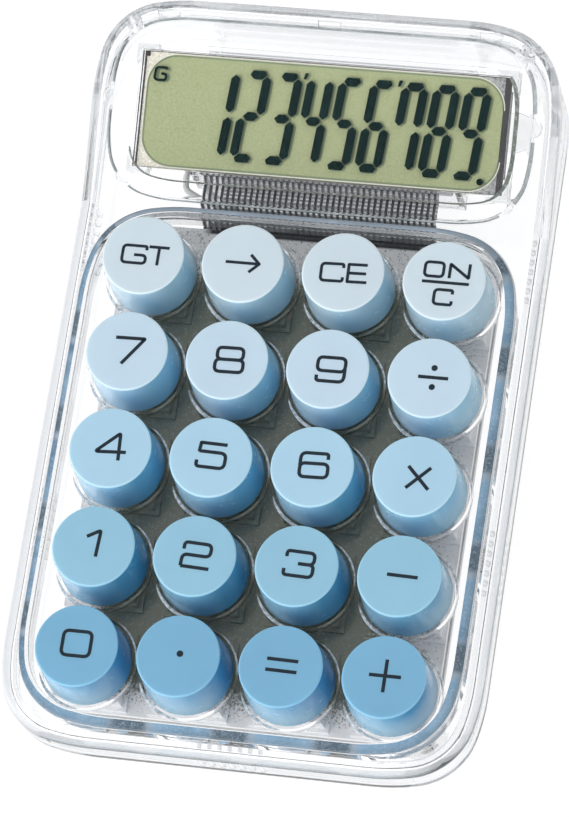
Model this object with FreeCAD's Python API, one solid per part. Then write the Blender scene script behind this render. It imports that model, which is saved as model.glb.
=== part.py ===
import FreeCAD, Part
import math
import os

# Desktop calculator with round mechanical keys in a clear case.
# Millimetres. X to the right, Y away from the user, Z up.
# The origin is on the desk, under the middle of the case.

# Keys
key_columns = 4
key_rows = 5
key_pitch = 19.05
key_travel = 3.0
cap_top_radius = 7.72
cap_rim_radius = 8.4
cap_height = 10.0
cap_edge_radius = 0.4
cap_lift = 0.3
cap_wall = 1.1
cap_roof = 1.6
cap_post_radius = 2.7
cap_post_lift = 0.2
cross_arm = 4.0
cross_bar = 1.25
cross_height = 3.6
cross_clearance = 0.04

# Key switches
switch_flange = 15.0
switch_flange_height = 0.8
switch_top_size = 13.4
switch_top_height = 3.0
switch_wall = 0.9
switch_edge = 0.45
switch_hole = 14.0
switch_base_size = 13.8
switch_base_floor = 1.0
switch_below_plate = 3.4
guide_radius = 2.5
guide_bore = 1.95
guide_depth = 2.1
guide_bottom = 0.5
plunger_length = 5.6
plunger_depth = 4.6
plunger_clearance = 0.15
shoulder_length = 7.6
shoulder_depth = 6.8
shoulder_height = 1.1
pole_radius = 0.95
pole_length = 2.2
plunger_overlap = 0.3
spring_outer_radius = 1.7
spring_wire = 0.35
spring_end_gap = 0.05
contact_height = 2.0
contact_width = 1.6
contact_thickness = 0.3
contact_offset_x = 3.8
contact_offset_y = 4.6
pin_radius = 0.45
pin_clearance = 0.15
pin_end = 1.1

# Plate and board under the keys
plate_side_margin = 7.4
plate_front_margin = 8.0
plate_back_margin = 11.9
plate_corner_radius = 3.0
plate_thickness = 1.2
board_thickness = 1.6
board_tongue_length = 4.0
board_tongue_width = 44.0
spacer_radius = 2.0

# Case
foot_height = 1.0
floor_thickness = 2.0
board_lift = 2.7
wall = 2.0
deck_thickness = 2.0
deck_above_rim = 2.1
deck_edge_radius = 3.2
corner_small_radius = 13.0
corner_big_radius = 40.0
corner_ease = 12.0
waist_height = 9.2
waist_radius = 6.0
hull_slope = 19.0
hull_edge_radius = 2.5
parting_height = 15.5
parting_slope = 11.0
lip_height = 1.6
lip_depth = 2.0
lip_thickness = 0.9
lip_clearance = 0.1
side_rim = 3.3
front_rim = 3.1

# Keypad well
well_side_margin = 4.73
well_end_margin = 4.5
well_wall = 1.7
well_small_radius = 11.5
well_big_radius = 36.0
well_floor_thickness = 1.6
collar_gap = 0.5
collar_wall = 0.5
collar_height = 1.2
bead_width = 2.1
bead_height = 0.9
bead_edge_radius = 0.4

# Tilted display
display_tilt = 16.0
kink_gap = 0.85
kink_radius = 5.0
lens_front_margin = 0.9
lens_back_margin = 5.2
lens_side_rim = 4.8
lens_proud = 0.4
lens_thickness = 1.8
lens_edge_radius = 0.6
lens_clearance = 0.15
lens_small_radius = 9.5
lens_big_radius = 30.0
lens_border_side = 4.7
lens_border_front = 5.6
lens_border_back = 5.9
tab_width = 4.2
tab_root_width = 3.2
tab_reach = 1.6
tab_thickness = 1.0
tab_round_radius = 1.8
tab_round_shift = 1.5
tab_spacing = 31.0
corner_tab_radius = 1.45
corner_tab_inset = 3.6
lcd_width = 71.0
lcd_height = 22.3
lcd_glass_thickness = 1.1
lcd_reflector_thickness = 0.4
lcd_seal = 0.1
lcd_seal_inset = 0.6
lcd_reflector_inset = 0.3
lcd_air_gap = 0.2
holder_side_margin = 1.1
holder_end_margin = 1.7
holder_depth = 1.3
holder_wall = 1.0
holder_small_radius = 4.5
holder_big_radius = 12.0
holder_flange = 1.2
bracket_arm = 4.0
bracket_thickness = 1.0
bracket_clearance = 0.1

# Flat connector from the display to the board
ribbon_width = 45.5
ribbon_thickness = 0.3
ribbon_bend_radius = 1.2
ribbon_landing = 4.6
ribbon_gap = 0.15
ribbon_start_drop = 1.5
ribbon_drop = 6.6
ribbon_clearance = 1.25
ribbon_well_gap = 2.1
ribbon_lean = 1.4

# Battery bay
battery_radius = 5.25
battery_length = 44.5
battery_nub_radius = 1.9
battery_nub_length = 0.8
battery_gap = 0.7
battery_lift = 0.4
bay_setback = 9.3
bay_wall = 1.2
bay_height = 9.0
bay_side_gap = 0.4
contact_plate_thickness = 0.5
contact_plate_height = 8.0
contact_plate_width = 9.0
battery_spring_length = 4.5
battery_spring_radius = 2.6
battery_spring_wire = 0.7
battery_spring_turns = 3.0
lead_radius = 0.6
lead_gap = 0.02
lead_bend_radius = 2.0
lead_slot_clearance = 0.3
lead_landing = 2.5
lead_spacing = 3.4
lead_inward = 3.6
lead_run_out = 1.2
lead_side_step = 4.0
door_thickness = 1.9
door_clearance = 0.3
door_pin_radius = 0.6
door_pin_length = 1.2
door_pin_clearance = 0.08
door_groove_width = 1.0
door_groove_depth = 0.5
door_groove_count = 3
thumb_notch_radius = 6.0

# Feet, screws and ribs
foot_radius = 4.0
foot_recess = 0.6
foot_clearance = 0.1
foot_edge_radius = 0.3
foot_inset_x = 12.0
foot_inset_y = 12.0
screw_radius = 1.0
screw_head_radius = 1.9
screw_head_height = 1.4
screw_clearance = 0.15
screw_head_recess = 1.0
screw_head_edge = 0.35
screw_end_gap = 0.2
screw_slot_length = 2.1
screw_slot_width = 0.4
screw_slot_depth = 0.7
thread_clearance = 0.05
post_radius = 3.2
corner_boss_radius = 1.6
corner_boss_bore = 0.7
corner_boss_length = 3.6
corner_boss_inset_x = 6.9
corner_boss_inset_y = 5.0
rib_count = 7
rib_pitch = 1.9
rib_width = 0.8
rib_depth = 0.9
rib_height = 4.4
back_ribs_shift = 45.7
front_ribs_shift = -11.4

# Small parts on the board
chip_radius = 5.0
chip_height = 1.1
chip_edge_radius = 0.9
small_part_length = 2.0
small_part_width = 1.25
small_part_height = 0.6
small_part_pitch = 3.2
small_part_columns = 3
small_part_rows = 2

X = FreeCAD.Vector(1, 0, 0)
Y = FreeCAD.Vector(0, 1, 0)
Z = FreeCAD.Vector(0, 0, 1)
ZERO = FreeCAD.Vector(0, 0, 0)
far = 200.0

# Heights that follow from the stack of pieces
floor_top = foot_height + floor_thickness
board_bottom = floor_top + board_lift
board_top = board_bottom + board_thickness
plate_top = board_top + switch_below_plate
plate_bottom = plate_top - plate_thickness
switch_top = plate_top + switch_top_height
cap_rim = switch_top + key_travel + cap_lift
cap_top = cap_rim + cap_height
deck_top = cap_rim + deck_above_rim
collar_top = cap_rim
well_floor_top = collar_top - collar_height
well_floor_bottom = well_floor_top - well_floor_thickness

# Plan sizes of the well, the lens and the case
collar_radius = cap_rim_radius + collar_gap
well_half_x = (key_columns - 1) * key_pitch / 2 + cap_rim_radius + well_side_margin - bead_width
well_half_y = (key_rows - 1) * key_pitch / 2 + cap_rim_radius + well_end_margin - bead_width
tilt = math.radians(display_tilt)
lens_half_x = lcd_width / 2 + lens_border_side
lens_length = lcd_height + lens_border_front + lens_border_back
deck_run = (lens_front_margin + lens_length + lens_back_margin) * math.cos(tilt)
body_half_x = max(well_half_x + bead_width + side_rim, lens_half_x + lens_side_rim)
body_length = front_rim + 2 * (well_half_y + bead_width) + kink_gap + deck_run
body_half_y = body_length / 2
keypad_y = -body_half_y + front_rim + bead_width + well_half_y
kink_y = keypad_y + well_half_y + bead_width + kink_gap
lens_middle = lens_front_margin + lens_length / 2
lcd_front_edge = lens_front_margin + lens_border_front
lcd_middle = lcd_front_edge + lcd_height / 2
lcd_top = lens_proud - lens_thickness - lcd_air_gap
lcd_thickness = 2 * lcd_glass_thickness + lcd_seal + lcd_reflector_thickness
lcd_bottom = lcd_top - lcd_thickness

# Plate and board in plan
plate_half_x = (key_columns - 1) * key_pitch / 2 + plate_side_margin
plate_front = keypad_y - (key_rows - 1) * key_pitch / 2 - plate_front_margin
plate_back = keypad_y + (key_rows - 1) * key_pitch / 2 + plate_back_margin
tongue_back = plate_back + board_tongue_length

# Battery bay, placed behind the keypad and under the display
bay_half_x = battery_length / 2 + battery_spring_length / 2 + contact_plate_thickness
bay_depth = 4 * battery_radius + battery_gap + 2 * bay_side_gap
bay_front = kink_y + bay_setback + bay_wall
bay_back = bay_front + bay_depth
battery_z = floor_top + battery_lift + battery_radius
battery_front_y = bay_front + bay_side_gap + battery_radius
battery_back_y = battery_front_y + 2 * battery_radius + battery_gap
lead_x = -bay_half_x + contact_plate_thickness + lead_radius + lead_gap
lead_back_y = battery_back_y - contact_plate_width / 2 - lead_radius - lead_gap
lead_z = board_bottom - lead_radius - lead_gap
door_half_x = bay_half_x - bay_side_gap - door_clearance
door_front = bay_front + door_clearance
door_back = bay_back - door_clearance
door_axis_y = door_front + door_thickness / 2
door_axis_z = foot_height + door_thickness / 2

# Feet in plan
foot_x = body_half_x - foot_inset_x
foot_y = body_half_y - foot_inset_y

key_names = [
    ["0", "dot", "equals", "plus"],
    ["1", "2", "3", "minus"],
    ["4", "5", "6", "multiply"],
    ["7", "8", "9", "divide"],
    ["gt", "arrow", "ce", "on_c"],
]


def key_places():
    """Name, x and y of each key, from the front row to the back row."""
    places = []
    for row in range(key_rows):
        for column in range(key_columns):
            x = (column - (key_columns - 1) / 2) * key_pitch
            y = keypad_y + (row - (key_rows - 1) / 2) * key_pitch
            places.append((key_names[row][column], x, y))
    return places


def box(x0, x1, y0, y1, z0, z1):
    """A block between two corners."""
    return Part.makeBox(x1 - x0, y1 - y0, z1 - z0, FreeCAD.Vector(x0, y0, z0))


def block(cx, cy, length, depth, z0, z1):
    """A block centred on a point in plan."""
    return box(cx - length / 2, cx + length / 2, cy - depth / 2, cy + depth / 2, z0, z1)


def rod(radius, cx, cy, z0, z1):
    """An upright cylinder."""
    return Part.makeCylinder(radius, z1 - z0, FreeCAD.Vector(cx, cy, z0), Z)


def fuse(shapes):
    """One clean solid from several."""
    joined = shapes[0]
    if len(shapes) > 1:
        joined = shapes[0].multiFuse(shapes[1:])
    return joined.removeSplitter()


def arc_points(centre_x, centre_y, radius, angle):
    """A point on a circle in plan."""
    return centre_x + radius * math.cos(angle), centre_y + radius * math.sin(angle)


def outline_pieces(half_x, half_y, small, big, middle_y):
    """Straight and round pieces of a rounded rectangle whose corners ease in and out of its sides.

    A straight piece holds its two ends, and a round one its centre, radius and first and last angle.
    """
    ease = math.radians(corner_ease)
    reach = big * (1 - math.cos(ease) + math.sin(ease)) + small * (math.cos(ease) - math.sin(ease))
    pieces = []
    for quarter in range(4):
        base = quarter * math.pi / 2
        along, across = (half_x, half_y) if quarter % 2 == 0 else (half_y, half_x)

        def place(u, v):
            return (
                u * math.cos(base) - v * math.sin(base),
                middle_y + u * math.sin(base) + v * math.cos(base),
            )

        one = (along - big, across - reach)
        two = (one[0] + (big - small) * math.cos(ease), one[1] + (big - small) * math.sin(ease))
        three = (along - reach, across - big)
        pieces.append(("straight", place(along, reach - across), place(along, across - reach)))
        pieces.append(("round", place(*one), big, base, base + ease))
        pieces.append(("round", place(*two), small, base + ease, base + math.pi / 2 - ease))
        pieces.append(("round", place(*three), big, base + math.pi / 2 - ease, base + math.pi / 2))
    return pieces


def eased_outline(half_x, half_y, small, big, middle_y, height, inset=0.0):
    """The closed wire of such an outline at a height, drawn in by an inset."""
    edges = []
    for piece in outline_pieces(half_x - inset, half_y - inset, small - inset, big - inset, middle_y):
        if piece[0] == "straight":
            ends = [FreeCAD.Vector(x, y, height) for x, y in piece[1:]]
            edges.append(Part.LineSegment(*ends).toShape())
        else:
            name, centre, radius, start, end = piece
            points = [arc_points(*centre, radius, a) for a in (start, (start + end) / 2, end)]
            edges.append(Part.Arc(*[FreeCAD.Vector(x, y, height) for x, y in points]).toShape())
    return Part.Wire(edges)


def prism(wire, height):
    """An upright prism on a flat outline."""
    return Part.Face(wire).extrude(FreeCAD.Vector(0, 0, height))


def case_outline(height, inset=0.0):
    """The outline of the case in plan."""
    return eased_outline(
        body_half_x, body_half_y, corner_small_radius, corner_big_radius, 0.0, height, inset
    )


def well_outline(height, grow=0.0):
    """The outline of the keypad well in plan."""
    return eased_outline(
        well_half_x, well_half_y, well_small_radius, well_big_radius, keypad_y, height, -grow
    )


def bent_side(level, slope, bottom, bend_radius=0.0):
    """Everything between a level and a line that is flat over the keys and climbs at the display."""
    rise = math.tan(slope)
    end = far
    flat_end = FreeCAD.Vector(-far, kink_y, level)
    top_end = FreeCAD.Vector(-far, end, level + rise * (end - kink_y))
    start = FreeCAD.Vector(-far, -far, level)
    edges = []
    if bend_radius > 0:
        run = bend_radius * math.tan(slope / 2)
        before = flat_end - Y * run
        after = flat_end + FreeCAD.Vector(0, math.cos(slope), math.sin(slope)) * run
        centre = before + Z * bend_radius
        halfway = centre + FreeCAD.Vector(0, math.sin(slope / 2), -math.cos(slope / 2)) * bend_radius
        edges.append(Part.LineSegment(start, before).toShape())
        edges.append(Part.Arc(before, halfway, after).toShape())
        edges.append(Part.LineSegment(after, top_end).toShape())
    else:
        edges.append(Part.LineSegment(start, flat_end).toShape())
        edges.append(Part.LineSegment(flat_end, top_end).toShape())
    low_end = FreeCAD.Vector(-far, end, bottom)
    low_start = FreeCAD.Vector(-far, -far, bottom)
    edges.append(Part.LineSegment(top_end, low_end).toShape())
    edges.append(Part.LineSegment(low_end, low_start).toShape())
    edges.append(Part.LineSegment(low_start, start).toShape())
    return Part.Face(Part.Wire(edges)).extrude(X * (2 * far))


def rim_edges(solid, inset, low):
    """The edges of a solid that run round the case outline above a height."""
    core = prism(case_outline(-far, inset + 0.05), 2 * far)
    found = []
    for edge in solid.Edges:
        middle = edge.valueAt((edge.FirstParameter + edge.LastParameter) / 2)
        if middle.z > low and not core.isInside(middle, 1e-4, True):
            ends = [v.Point for v in edge.Vertexes]
            upright = abs(ends[0].x - ends[-1].x) < 1e-6 and abs(ends[0].y - ends[-1].y) < 1e-6
            if not upright:
                found.append(edge)
    return found


def level_edges(solid, height):
    """The edges of a solid that lie at one height."""
    return [
        e
        for e in solid.Edges
        if abs(e.BoundBox.ZMin - height) < 1e-4 and abs(e.BoundBox.ZMax - height) < 1e-4
    ]


def hull_profile(inset, base):
    """Side profile of the hull, as depth inside the case outline and height, from the top down."""
    slope = math.radians(hull_slope)
    waist = waist_height + inset * math.tan(slope / 2)
    bend = max(waist_radius - inset, 1.0)
    run = bend * math.tan(slope / 2)
    turn = math.pi / 2 - slope
    edge = max(hull_edge_radius - inset, 0.5)
    edge_run = edge * math.tan(turn / 2)
    drawn_in = inset + (waist - base) * math.tan(slope)
    start = (inset, far / 2)
    upper = (inset, waist + run)
    upper_middle = (inset + bend * (1 - math.cos(slope / 2)), waist + run - bend * math.sin(slope / 2))
    lower = (inset + run * math.sin(slope), waist - run * math.cos(slope))
    bottom = (drawn_in - edge_run * math.sin(slope), base + edge_run * math.cos(slope))
    centre = (drawn_in + edge_run, base + edge)
    halfway = slope + turn / 2
    middle = (centre[0] - edge * math.cos(halfway), centre[1] - edge * math.sin(halfway))
    return [
        (start, upper),
        (upper, upper_middle, lower),
        (lower, bottom),
        (bottom, middle, (drawn_in + edge_run, base)),
    ]


def swept_hull(profile):
    """The solid whose side follows the case outline with a given profile."""
    faces = []
    pieces = outline_pieces(body_half_x, body_half_y, corner_small_radius, corner_big_radius, 0.0)
    for piece in pieces:
        if piece[0] == "straight":
            start = FreeCAD.Vector(*piece[1], 0)
            along = FreeCAD.Vector(*piece[2], 0) - start
            inward = Z.cross(along).normalize()
        else:
            name, (cx, cy), radius, first, last = piece
            inward = FreeCAD.Vector(-math.cos(first), -math.sin(first), 0)
            start = FreeCAD.Vector(cx, cy, 0) - inward * radius
        for part in profile:
            points = [start + inward * depth + Z * height for depth, height in part]
            if len(points) == 2:
                edge = Part.LineSegment(*points).toShape()
            else:
                edge = Part.Arc(*points).toShape()
            if piece[0] == "straight":
                faces.append(edge.extrude(along))
            else:
                faces.append(edge.revolve(FreeCAD.Vector(cx, cy, 0), Z, math.degrees(last - first)))
    for depth, height in (profile[0][0], profile[-1][-1]):
        faces.append(Part.Face(case_outline(height, depth)))
    shell = Part.makeShell(faces)
    shell.sewShape()
    solid = Part.Solid(shell)
    if solid.Volume < 0:
        solid.reverse()
    return solid


def case_body(inset, deck_drop, floor_lift):
    """The solid inside the case outline, drawn in by an inset on all sides."""
    body = swept_hull(hull_profile(inset, foot_height + floor_lift))
    body = body.common(bent_side(deck_top - deck_drop, tilt, -far, kink_radius + deck_drop))
    radius = max(deck_edge_radius - inset, 0.5)
    return body.makeFillet(radius, rim_edges(body, inset, parting_height - deck_drop))


def tilted(shape):
    """Moves a shape from the display's own frame to the sloping deck."""
    moved = shape.copy()
    moved.rotate(ZERO, X, display_tilt)
    moved.translate(FreeCAD.Vector(0, kink_y, deck_top))
    return moved


def lens_outline(height, grow=0.0):
    """The outline of the display window in the display's own frame."""
    return eased_outline(
        lens_half_x, lens_length / 2, lens_small_radius, lens_big_radius, lens_middle, height, -grow
    )


def lens_tabs(grow, low, high):
    """The tabs round the display window, or the notches for them."""
    back = lens_middle + lens_length / 2
    root = back - tab_reach
    tip = back + tab_reach + grow
    root_half = tab_root_width / 2 + grow
    tip_half = tab_width / 2 + grow
    tabs = []
    for x in (-tab_spacing, 0.0, tab_spacing):
        corners = [(x - root_half, root), (x + root_half, root), (x + tip_half, tip), (x - tip_half, tip)]
        spots = [FreeCAD.Vector(px, py, low) for px, py in corners]
        tabs.append(prism(Part.makePolygon(spots + spots[:1]), high - low))
    round_y = lens_middle + tab_round_shift
    for side in (-1, 1):
        tabs.append(rod(tab_round_radius + grow, side * lens_half_x, round_y, low, high))
        for end in (-1, 1):
            corner_x = side * (lens_half_x - corner_tab_inset)
            corner_y = lens_middle + end * (lens_length / 2 - corner_tab_inset)
            tabs.append(rod(corner_tab_radius + grow, corner_x, corner_y, low, high))
    return tabs


def screw_places():
    """Plan positions of the screws that hold the board, where four keys meet."""
    spread_x = key_pitch
    spread_y = key_pitch * (key_rows - 2) / 2
    return [(sx * spread_x, keypad_y + sy * spread_y) for sx in (-1, 1) for sy in (-1, 1)]


def make_top_cover():
    """Clear upper shell: deck, well, collars, bead, display opening and rear corner bosses."""
    shell = case_body(0.0, 0.0, 0.0).cut(case_body(wall, deck_thickness, floor_thickness))
    shell = shell.cut(bent_side(parting_height, math.radians(parting_slope), -far))
    well_cut = prism(well_outline(well_floor_top), far)
    ring = prism(well_outline(well_floor_bottom, well_wall), deck_top - well_floor_bottom)
    bead = prism(well_outline(deck_top - deck_thickness / 2, bead_width), bead_height + deck_thickness / 2)
    bead = bead.cut(well_cut)
    edges = level_edges(bead, deck_top + bead_height)
    bead = bead.makeFillet(bead_edge_radius, edges)
    cover = fuse([shell.cut(well_cut), ring.cut(well_cut), bead])
    core = case_body(wall / 2, deck_thickness / 2, floor_thickness / 2)
    collars = []
    holes = []
    for name, x, y in key_places():
        collars.append(rod(collar_radius + collar_wall, x, y, well_floor_bottom, collar_top))
        holes.append(rod(collar_radius, x, y, 0.0, far))
    for side in (-1, 1):
        x = side * (body_half_x - corner_boss_inset_x)
        y = body_half_y - corner_boss_inset_y
        deck_here = deck_top + (y - kink_y) * math.tan(tilt)
        low = deck_here - deck_thickness / 2 - corner_boss_length
        collars.append(rod(corner_boss_radius, x, y, low, deck_here).common(core))
        holes.append(rod(corner_boss_bore, x, y, 0.0, low + corner_boss_length - deck_thickness))
    cover = fuse([cover] + collars)
    opening = prism(lens_outline(-deck_thickness * 2, lens_clearance), deck_thickness * 4)
    notches = lens_tabs(lens_clearance, -tab_thickness, far)
    for cutter in [opening] + notches:
        holes.append(tilted(cutter))
    return cover.cut(Part.makeCompound(holes)).removeSplitter()


def wall_ribs():
    """Groups of upright ribs on the inner faces of the lower walls."""
    ribs = []
    low = waist_height
    high = low + rib_height
    group = (rib_count - 1) / 2
    for side in (-1, 1):
        outer = side * (body_half_x - wall / 2)
        inner = side * (body_half_x - wall - rib_depth)
        left, right = min(outer, inner), max(outer, inner)
        for shift in (back_ribs_shift, front_ribs_shift):
            for i in range(rib_count):
                y = keypad_y + shift + (i - group) * rib_pitch
                ribs.append(box(left, right, y - rib_width / 2, y + rib_width / 2, low, high))
    for i in range(rib_count):
        x = (i - group) * rib_pitch
        y0 = -body_half_y + wall / 2
        ribs.append(box(x - rib_width / 2, x + rib_width / 2, y0, y0 + wall / 2 + rib_depth, low, high))
    return ribs


def make_bottom_cover():
    """Clear lower tub: floor, walls with a lip, posts, battery bay and foot recesses."""
    inner = case_body(wall, deck_thickness, floor_thickness)
    shell = case_body(0.0, 0.0, 0.0).cut(inner)
    angle = math.radians(parting_slope)
    shell = shell.common(bent_side(parting_height, angle, -far))
    thin = swept_hull(hull_profile(wall + lip_thickness, floor_top))
    slim = case_body(wall + lip_clearance, deck_thickness + lip_clearance, floor_thickness + lip_clearance)
    under = bent_side(parting_height, angle, -far)
    band_low = under.cut(bent_side(parting_height - lip_depth, angle, -far))
    band_high = bent_side(parting_height + lip_height, angle, -far).cut(under)
    lip_low = inner.cut(thin).common(band_low)
    lip_high = slim.cut(thin).common(band_high)
    extras = [lip_low, lip_high] + wall_ribs()
    for x, y in screw_places():
        extras.append(rod(post_radius, x, y, floor_top - floor_thickness / 2, board_bottom))
    bay = box(
        -bay_half_x - bay_wall, bay_half_x + bay_wall,
        bay_front - bay_wall, bay_back + bay_wall,
        floor_top - floor_thickness / 2, floor_top + bay_height,
    )
    bay = bay.cut(box(-bay_half_x, bay_half_x, bay_front, bay_back, 0.0, far))
    slot = 2 * (lead_radius + lead_slot_clearance)
    bay = bay.cut(block(lead_x, bay_front - bay_wall / 2, slot, 2 * bay_wall, lead_z - slot / 2, far))
    bay = bay.cut(block(-bay_half_x - bay_wall / 2, lead_back_y, 2 * bay_wall, slot, lead_z - slot / 2, far))
    cover = fuse([shell] + extras + [bay])
    holes = [
        box(
            -door_half_x - door_clearance, door_half_x + door_clearance,
            door_front - door_clearance, door_back + door_clearance,
            0.0, floor_top + battery_lift,
        )
    ]
    pin_reach = door_half_x + door_clearance + door_pin_length
    holes.append(
        Part.makeCylinder(
            door_pin_radius + door_pin_clearance, 2 * pin_reach,
            FreeCAD.Vector(-pin_reach, door_axis_y, door_axis_z), X,
        )
    )
    notch = Part.makeCylinder(thumb_notch_radius, far, FreeCAD.Vector(0, door_back, 0), Z)
    holes.append(notch.common(box(-far, far, door_back, far, 0.0, foot_height + door_groove_depth)))
    for x, y in screw_places():
        holes.append(rod(screw_radius + screw_clearance, x, y, 0.0, far))
        head_top = foot_height + screw_head_recess + screw_head_height
        holes.append(rod(screw_head_radius + screw_clearance, x, y, 0.0, head_top))
    for sx in (-1, 1):
        for sy in (-1, 1):
            holes.append(rod(foot_radius, sx * foot_x, sy * foot_y, 0.0, foot_height + foot_recess))
    return cover.cut(Part.makeCompound(holes)).removeSplitter()


def make_display_window():
    """Clear lens with tabs, a little proud of the deck."""
    low = lens_proud - lens_thickness
    lens = prism(lens_outline(low), lens_thickness)
    lens = lens.makeFillet(lens_edge_radius, level_edges(lens, lens_proud))
    tabs = lens_tabs(0.0, -tab_thickness, 0.0)
    return tilted(fuse([lens] + tabs))


def make_lcd_panel():
    """Front glass, rear glass and reflector, as separate layers of one bonded panel."""
    layers = []
    top = lcd_top
    sizes = [
        (lcd_glass_thickness, 0.0),
        (lcd_seal, lcd_seal_inset),
        (lcd_glass_thickness, 0.0),
        (lcd_reflector_thickness, lcd_reflector_inset),
    ]
    for thickness, inset in sizes:
        low = top - thickness
        layer = block(0.0, lcd_middle, lcd_width - 2 * inset, lcd_height - 2 * inset, low, top)
        layers.append(tilted(layer))
        top = low
    return layers


def make_lcd_holder():
    """Clear frame under the display, with an L-shaped post at each corner of the glass."""
    half_x = lcd_width / 2 + holder_side_margin
    half_y = lcd_height / 2 + holder_end_margin
    low = lcd_bottom - holder_depth

    def frame_prism(inset):
        outline = eased_outline(
            half_x, half_y, holder_small_radius, holder_big_radius, lcd_middle, low, inset
        )
        return prism(outline, lcd_bottom - low)

    pieces = [frame_prism(0.0).cut(frame_prism(holder_wall))]
    outer_x = lcd_width / 2 + bracket_clearance + bracket_thickness
    outer_y = lcd_height / 2 + bracket_clearance + bracket_thickness
    top = lens_proud - lens_thickness
    for sx in (-1, 1):
        for sy in (-1, 1):
            corner = box(
                outer_x - bracket_arm, outer_x,
                outer_y - bracket_arm, outer_y,
                lcd_bottom - holder_flange, top,
            )
            seat = box(
                -far, outer_x - bracket_thickness,
                -far, outer_y - bracket_thickness,
                lcd_bottom, far,
            )
            corner = corner.cut(seat)
            if sx < 0:
                corner = corner.mirror(ZERO, X)
            if sy < 0:
                corner = corner.mirror(ZERO, Y)
            corner.translate(Y * lcd_middle)
            pieces.append(corner)
    return tilted(fuse(pieces))


def bent_strip(points, radius, thickness, half_width):
    """A flat strip of even thickness that follows points seen from the side, with rounded bends."""

    def unit(a, b):
        length = math.hypot(b[0] - a[0], b[1] - a[1])
        return ((b[0] - a[0]) / length, (b[1] - a[1]) / length)

    def shifted(distance):
        moved = []
        for i, point in enumerate(points):
            before = unit(points[max(i - 1, 0)], points[max(i, 1)])
            last = len(points) - 1
            after = unit(points[min(i, last - 1)], points[min(i + 1, last)])
            nx, ny = -(before[1] + after[1]), before[0] + after[0]
            size = math.hypot(nx, ny)
            nx, ny = nx / size, ny / size
            stretch = 1 / (nx * -after[1] + ny * after[0])
            moved.append((point[0] + nx * distance * stretch, point[1] + ny * distance * stretch))
        return moved

    def side_edges(line, distance):
        edges = []
        here = line[0]
        for i in range(1, len(line) - 1):
            before = unit(line[i - 1], line[i])
            after = unit(line[i], line[i + 1])
            turn = before[0] * after[1] - before[1] * after[0]
            angle = math.acos(before[0] * after[0] + before[1] * after[1])
            bend = radius - math.copysign(distance, turn)
            run = bend * math.tan(angle / 2)
            start = (line[i][0] - before[0] * run, line[i][1] - before[1] * run)
            end = (line[i][0] + after[0] * run, line[i][1] + after[1] * run)
            side = math.copysign(1.0, turn)
            centre = (start[0] - before[1] * side * bend, start[1] + before[0] * side * bend)
            cx, cy = line[i][0] - centre[0], line[i][1] - centre[1]
            size = math.hypot(cx, cy)
            middle = (centre[0] + cx / size * bend, centre[1] + cy / size * bend)
            edges.append(("line", here, start))
            edges.append(("arc", start, middle, end))
            here = end
        edges.append(("line", here, line[-1]))
        return edges

    def vector(point):
        return FreeCAD.Vector(-half_width, point[0], point[1])

    upper = side_edges(shifted(thickness / 2), thickness / 2)
    lower = side_edges(shifted(-thickness / 2), -thickness / 2)
    shapes = []
    for entry in upper + lower:
        if entry[0] == "line":
            shapes.append(Part.LineSegment(vector(entry[1]), vector(entry[2])).toShape())
        else:
            shapes.append(Part.Arc(vector(entry[1]), vector(entry[2]), vector(entry[3])).toShape())
    shapes.append(Part.LineSegment(vector(upper[0][1]), vector(lower[0][1])).toShape())
    shapes.append(Part.LineSegment(vector(upper[-1][2]), vector(lower[-1][2])).toShape())
    wire = Part.Wire(Part.__sortEdges__(shapes))
    return Part.Face(wire).extrude(X * (2 * half_width))


def display_side(along, out):
    """A point of the display's own frame, seen from the side, as y and z."""
    y = kink_y + along * math.cos(tilt) - out * math.sin(tilt)
    z = deck_top + along * math.sin(tilt) + out * math.cos(tilt)
    return y, z


def make_lcd_ribbon():
    """Flat connector from the front edge of the glass, down behind its frame and on to the board."""
    along = lcd_front_edge - ribbon_thickness / 2 - ribbon_gap
    level = well_floor_bottom - ribbon_clearance
    drop_y = keypad_y + well_half_y + well_wall + ribbon_well_gap
    resting = board_top + ribbon_thickness / 2
    points = [
        display_side(along, lcd_top - ribbon_start_drop),
        display_side(along, lcd_top - ribbon_drop),
        (drop_y + ribbon_lean, level),
        (drop_y, resting),
        (drop_y - ribbon_landing, resting),
    ]
    return bent_strip(points, ribbon_bend_radius, ribbon_thickness, ribbon_width / 2)


def rounded_sheet(half_x, y0, y1, z0, z1, radius):
    """A flat sheet with rounded corners."""
    sheet = box(-half_x, half_x, y0, y1, z0, z1)
    corners = [e for e in sheet.Edges if e.BoundBox.ZLength > abs(z1 - z0) * 0.99]
    return sheet.makeFillet(radius, corners)


def make_switch_plate():
    """Metal plate with a square hole for each switch."""
    plate = rounded_sheet(
        plate_half_x, plate_front, plate_back, plate_bottom, plate_top, plate_corner_radius
    )
    holes = [block(x, y, switch_hole, switch_hole, 0.0, far) for name, x, y in key_places()]
    return plate.cut(Part.makeCompound(holes))


def contact_places(x, y):
    """Where the two contacts of a switch stand."""
    return [(x - contact_offset_x, y + contact_offset_y), (x + contact_offset_x, y + contact_offset_y)]


def make_keypad_board():
    """Circuit board with the guide, pin and screw holes, and a tongue for the flat connector."""
    board = rounded_sheet(
        plate_half_x, plate_front, plate_back, board_bottom, board_top, plate_corner_radius
    )
    half = board_tongue_width / 2
    tongue = box(-half, half, plate_back - plate_corner_radius, tongue_back, board_bottom, board_top)
    board = fuse([board, tongue])
    holes = []
    for name, x, y in key_places():
        holes.append(rod(guide_radius + pin_clearance, x, y, 0.0, far))
        for px, py in contact_places(x, y):
            holes.append(rod(pin_radius + pin_clearance, px, py, 0.0, far))
    holes += [rod(screw_radius + screw_clearance, x, y, 0.0, far) for x, y in screw_places()]
    return board.cut(Part.makeCompound(holes))


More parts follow.
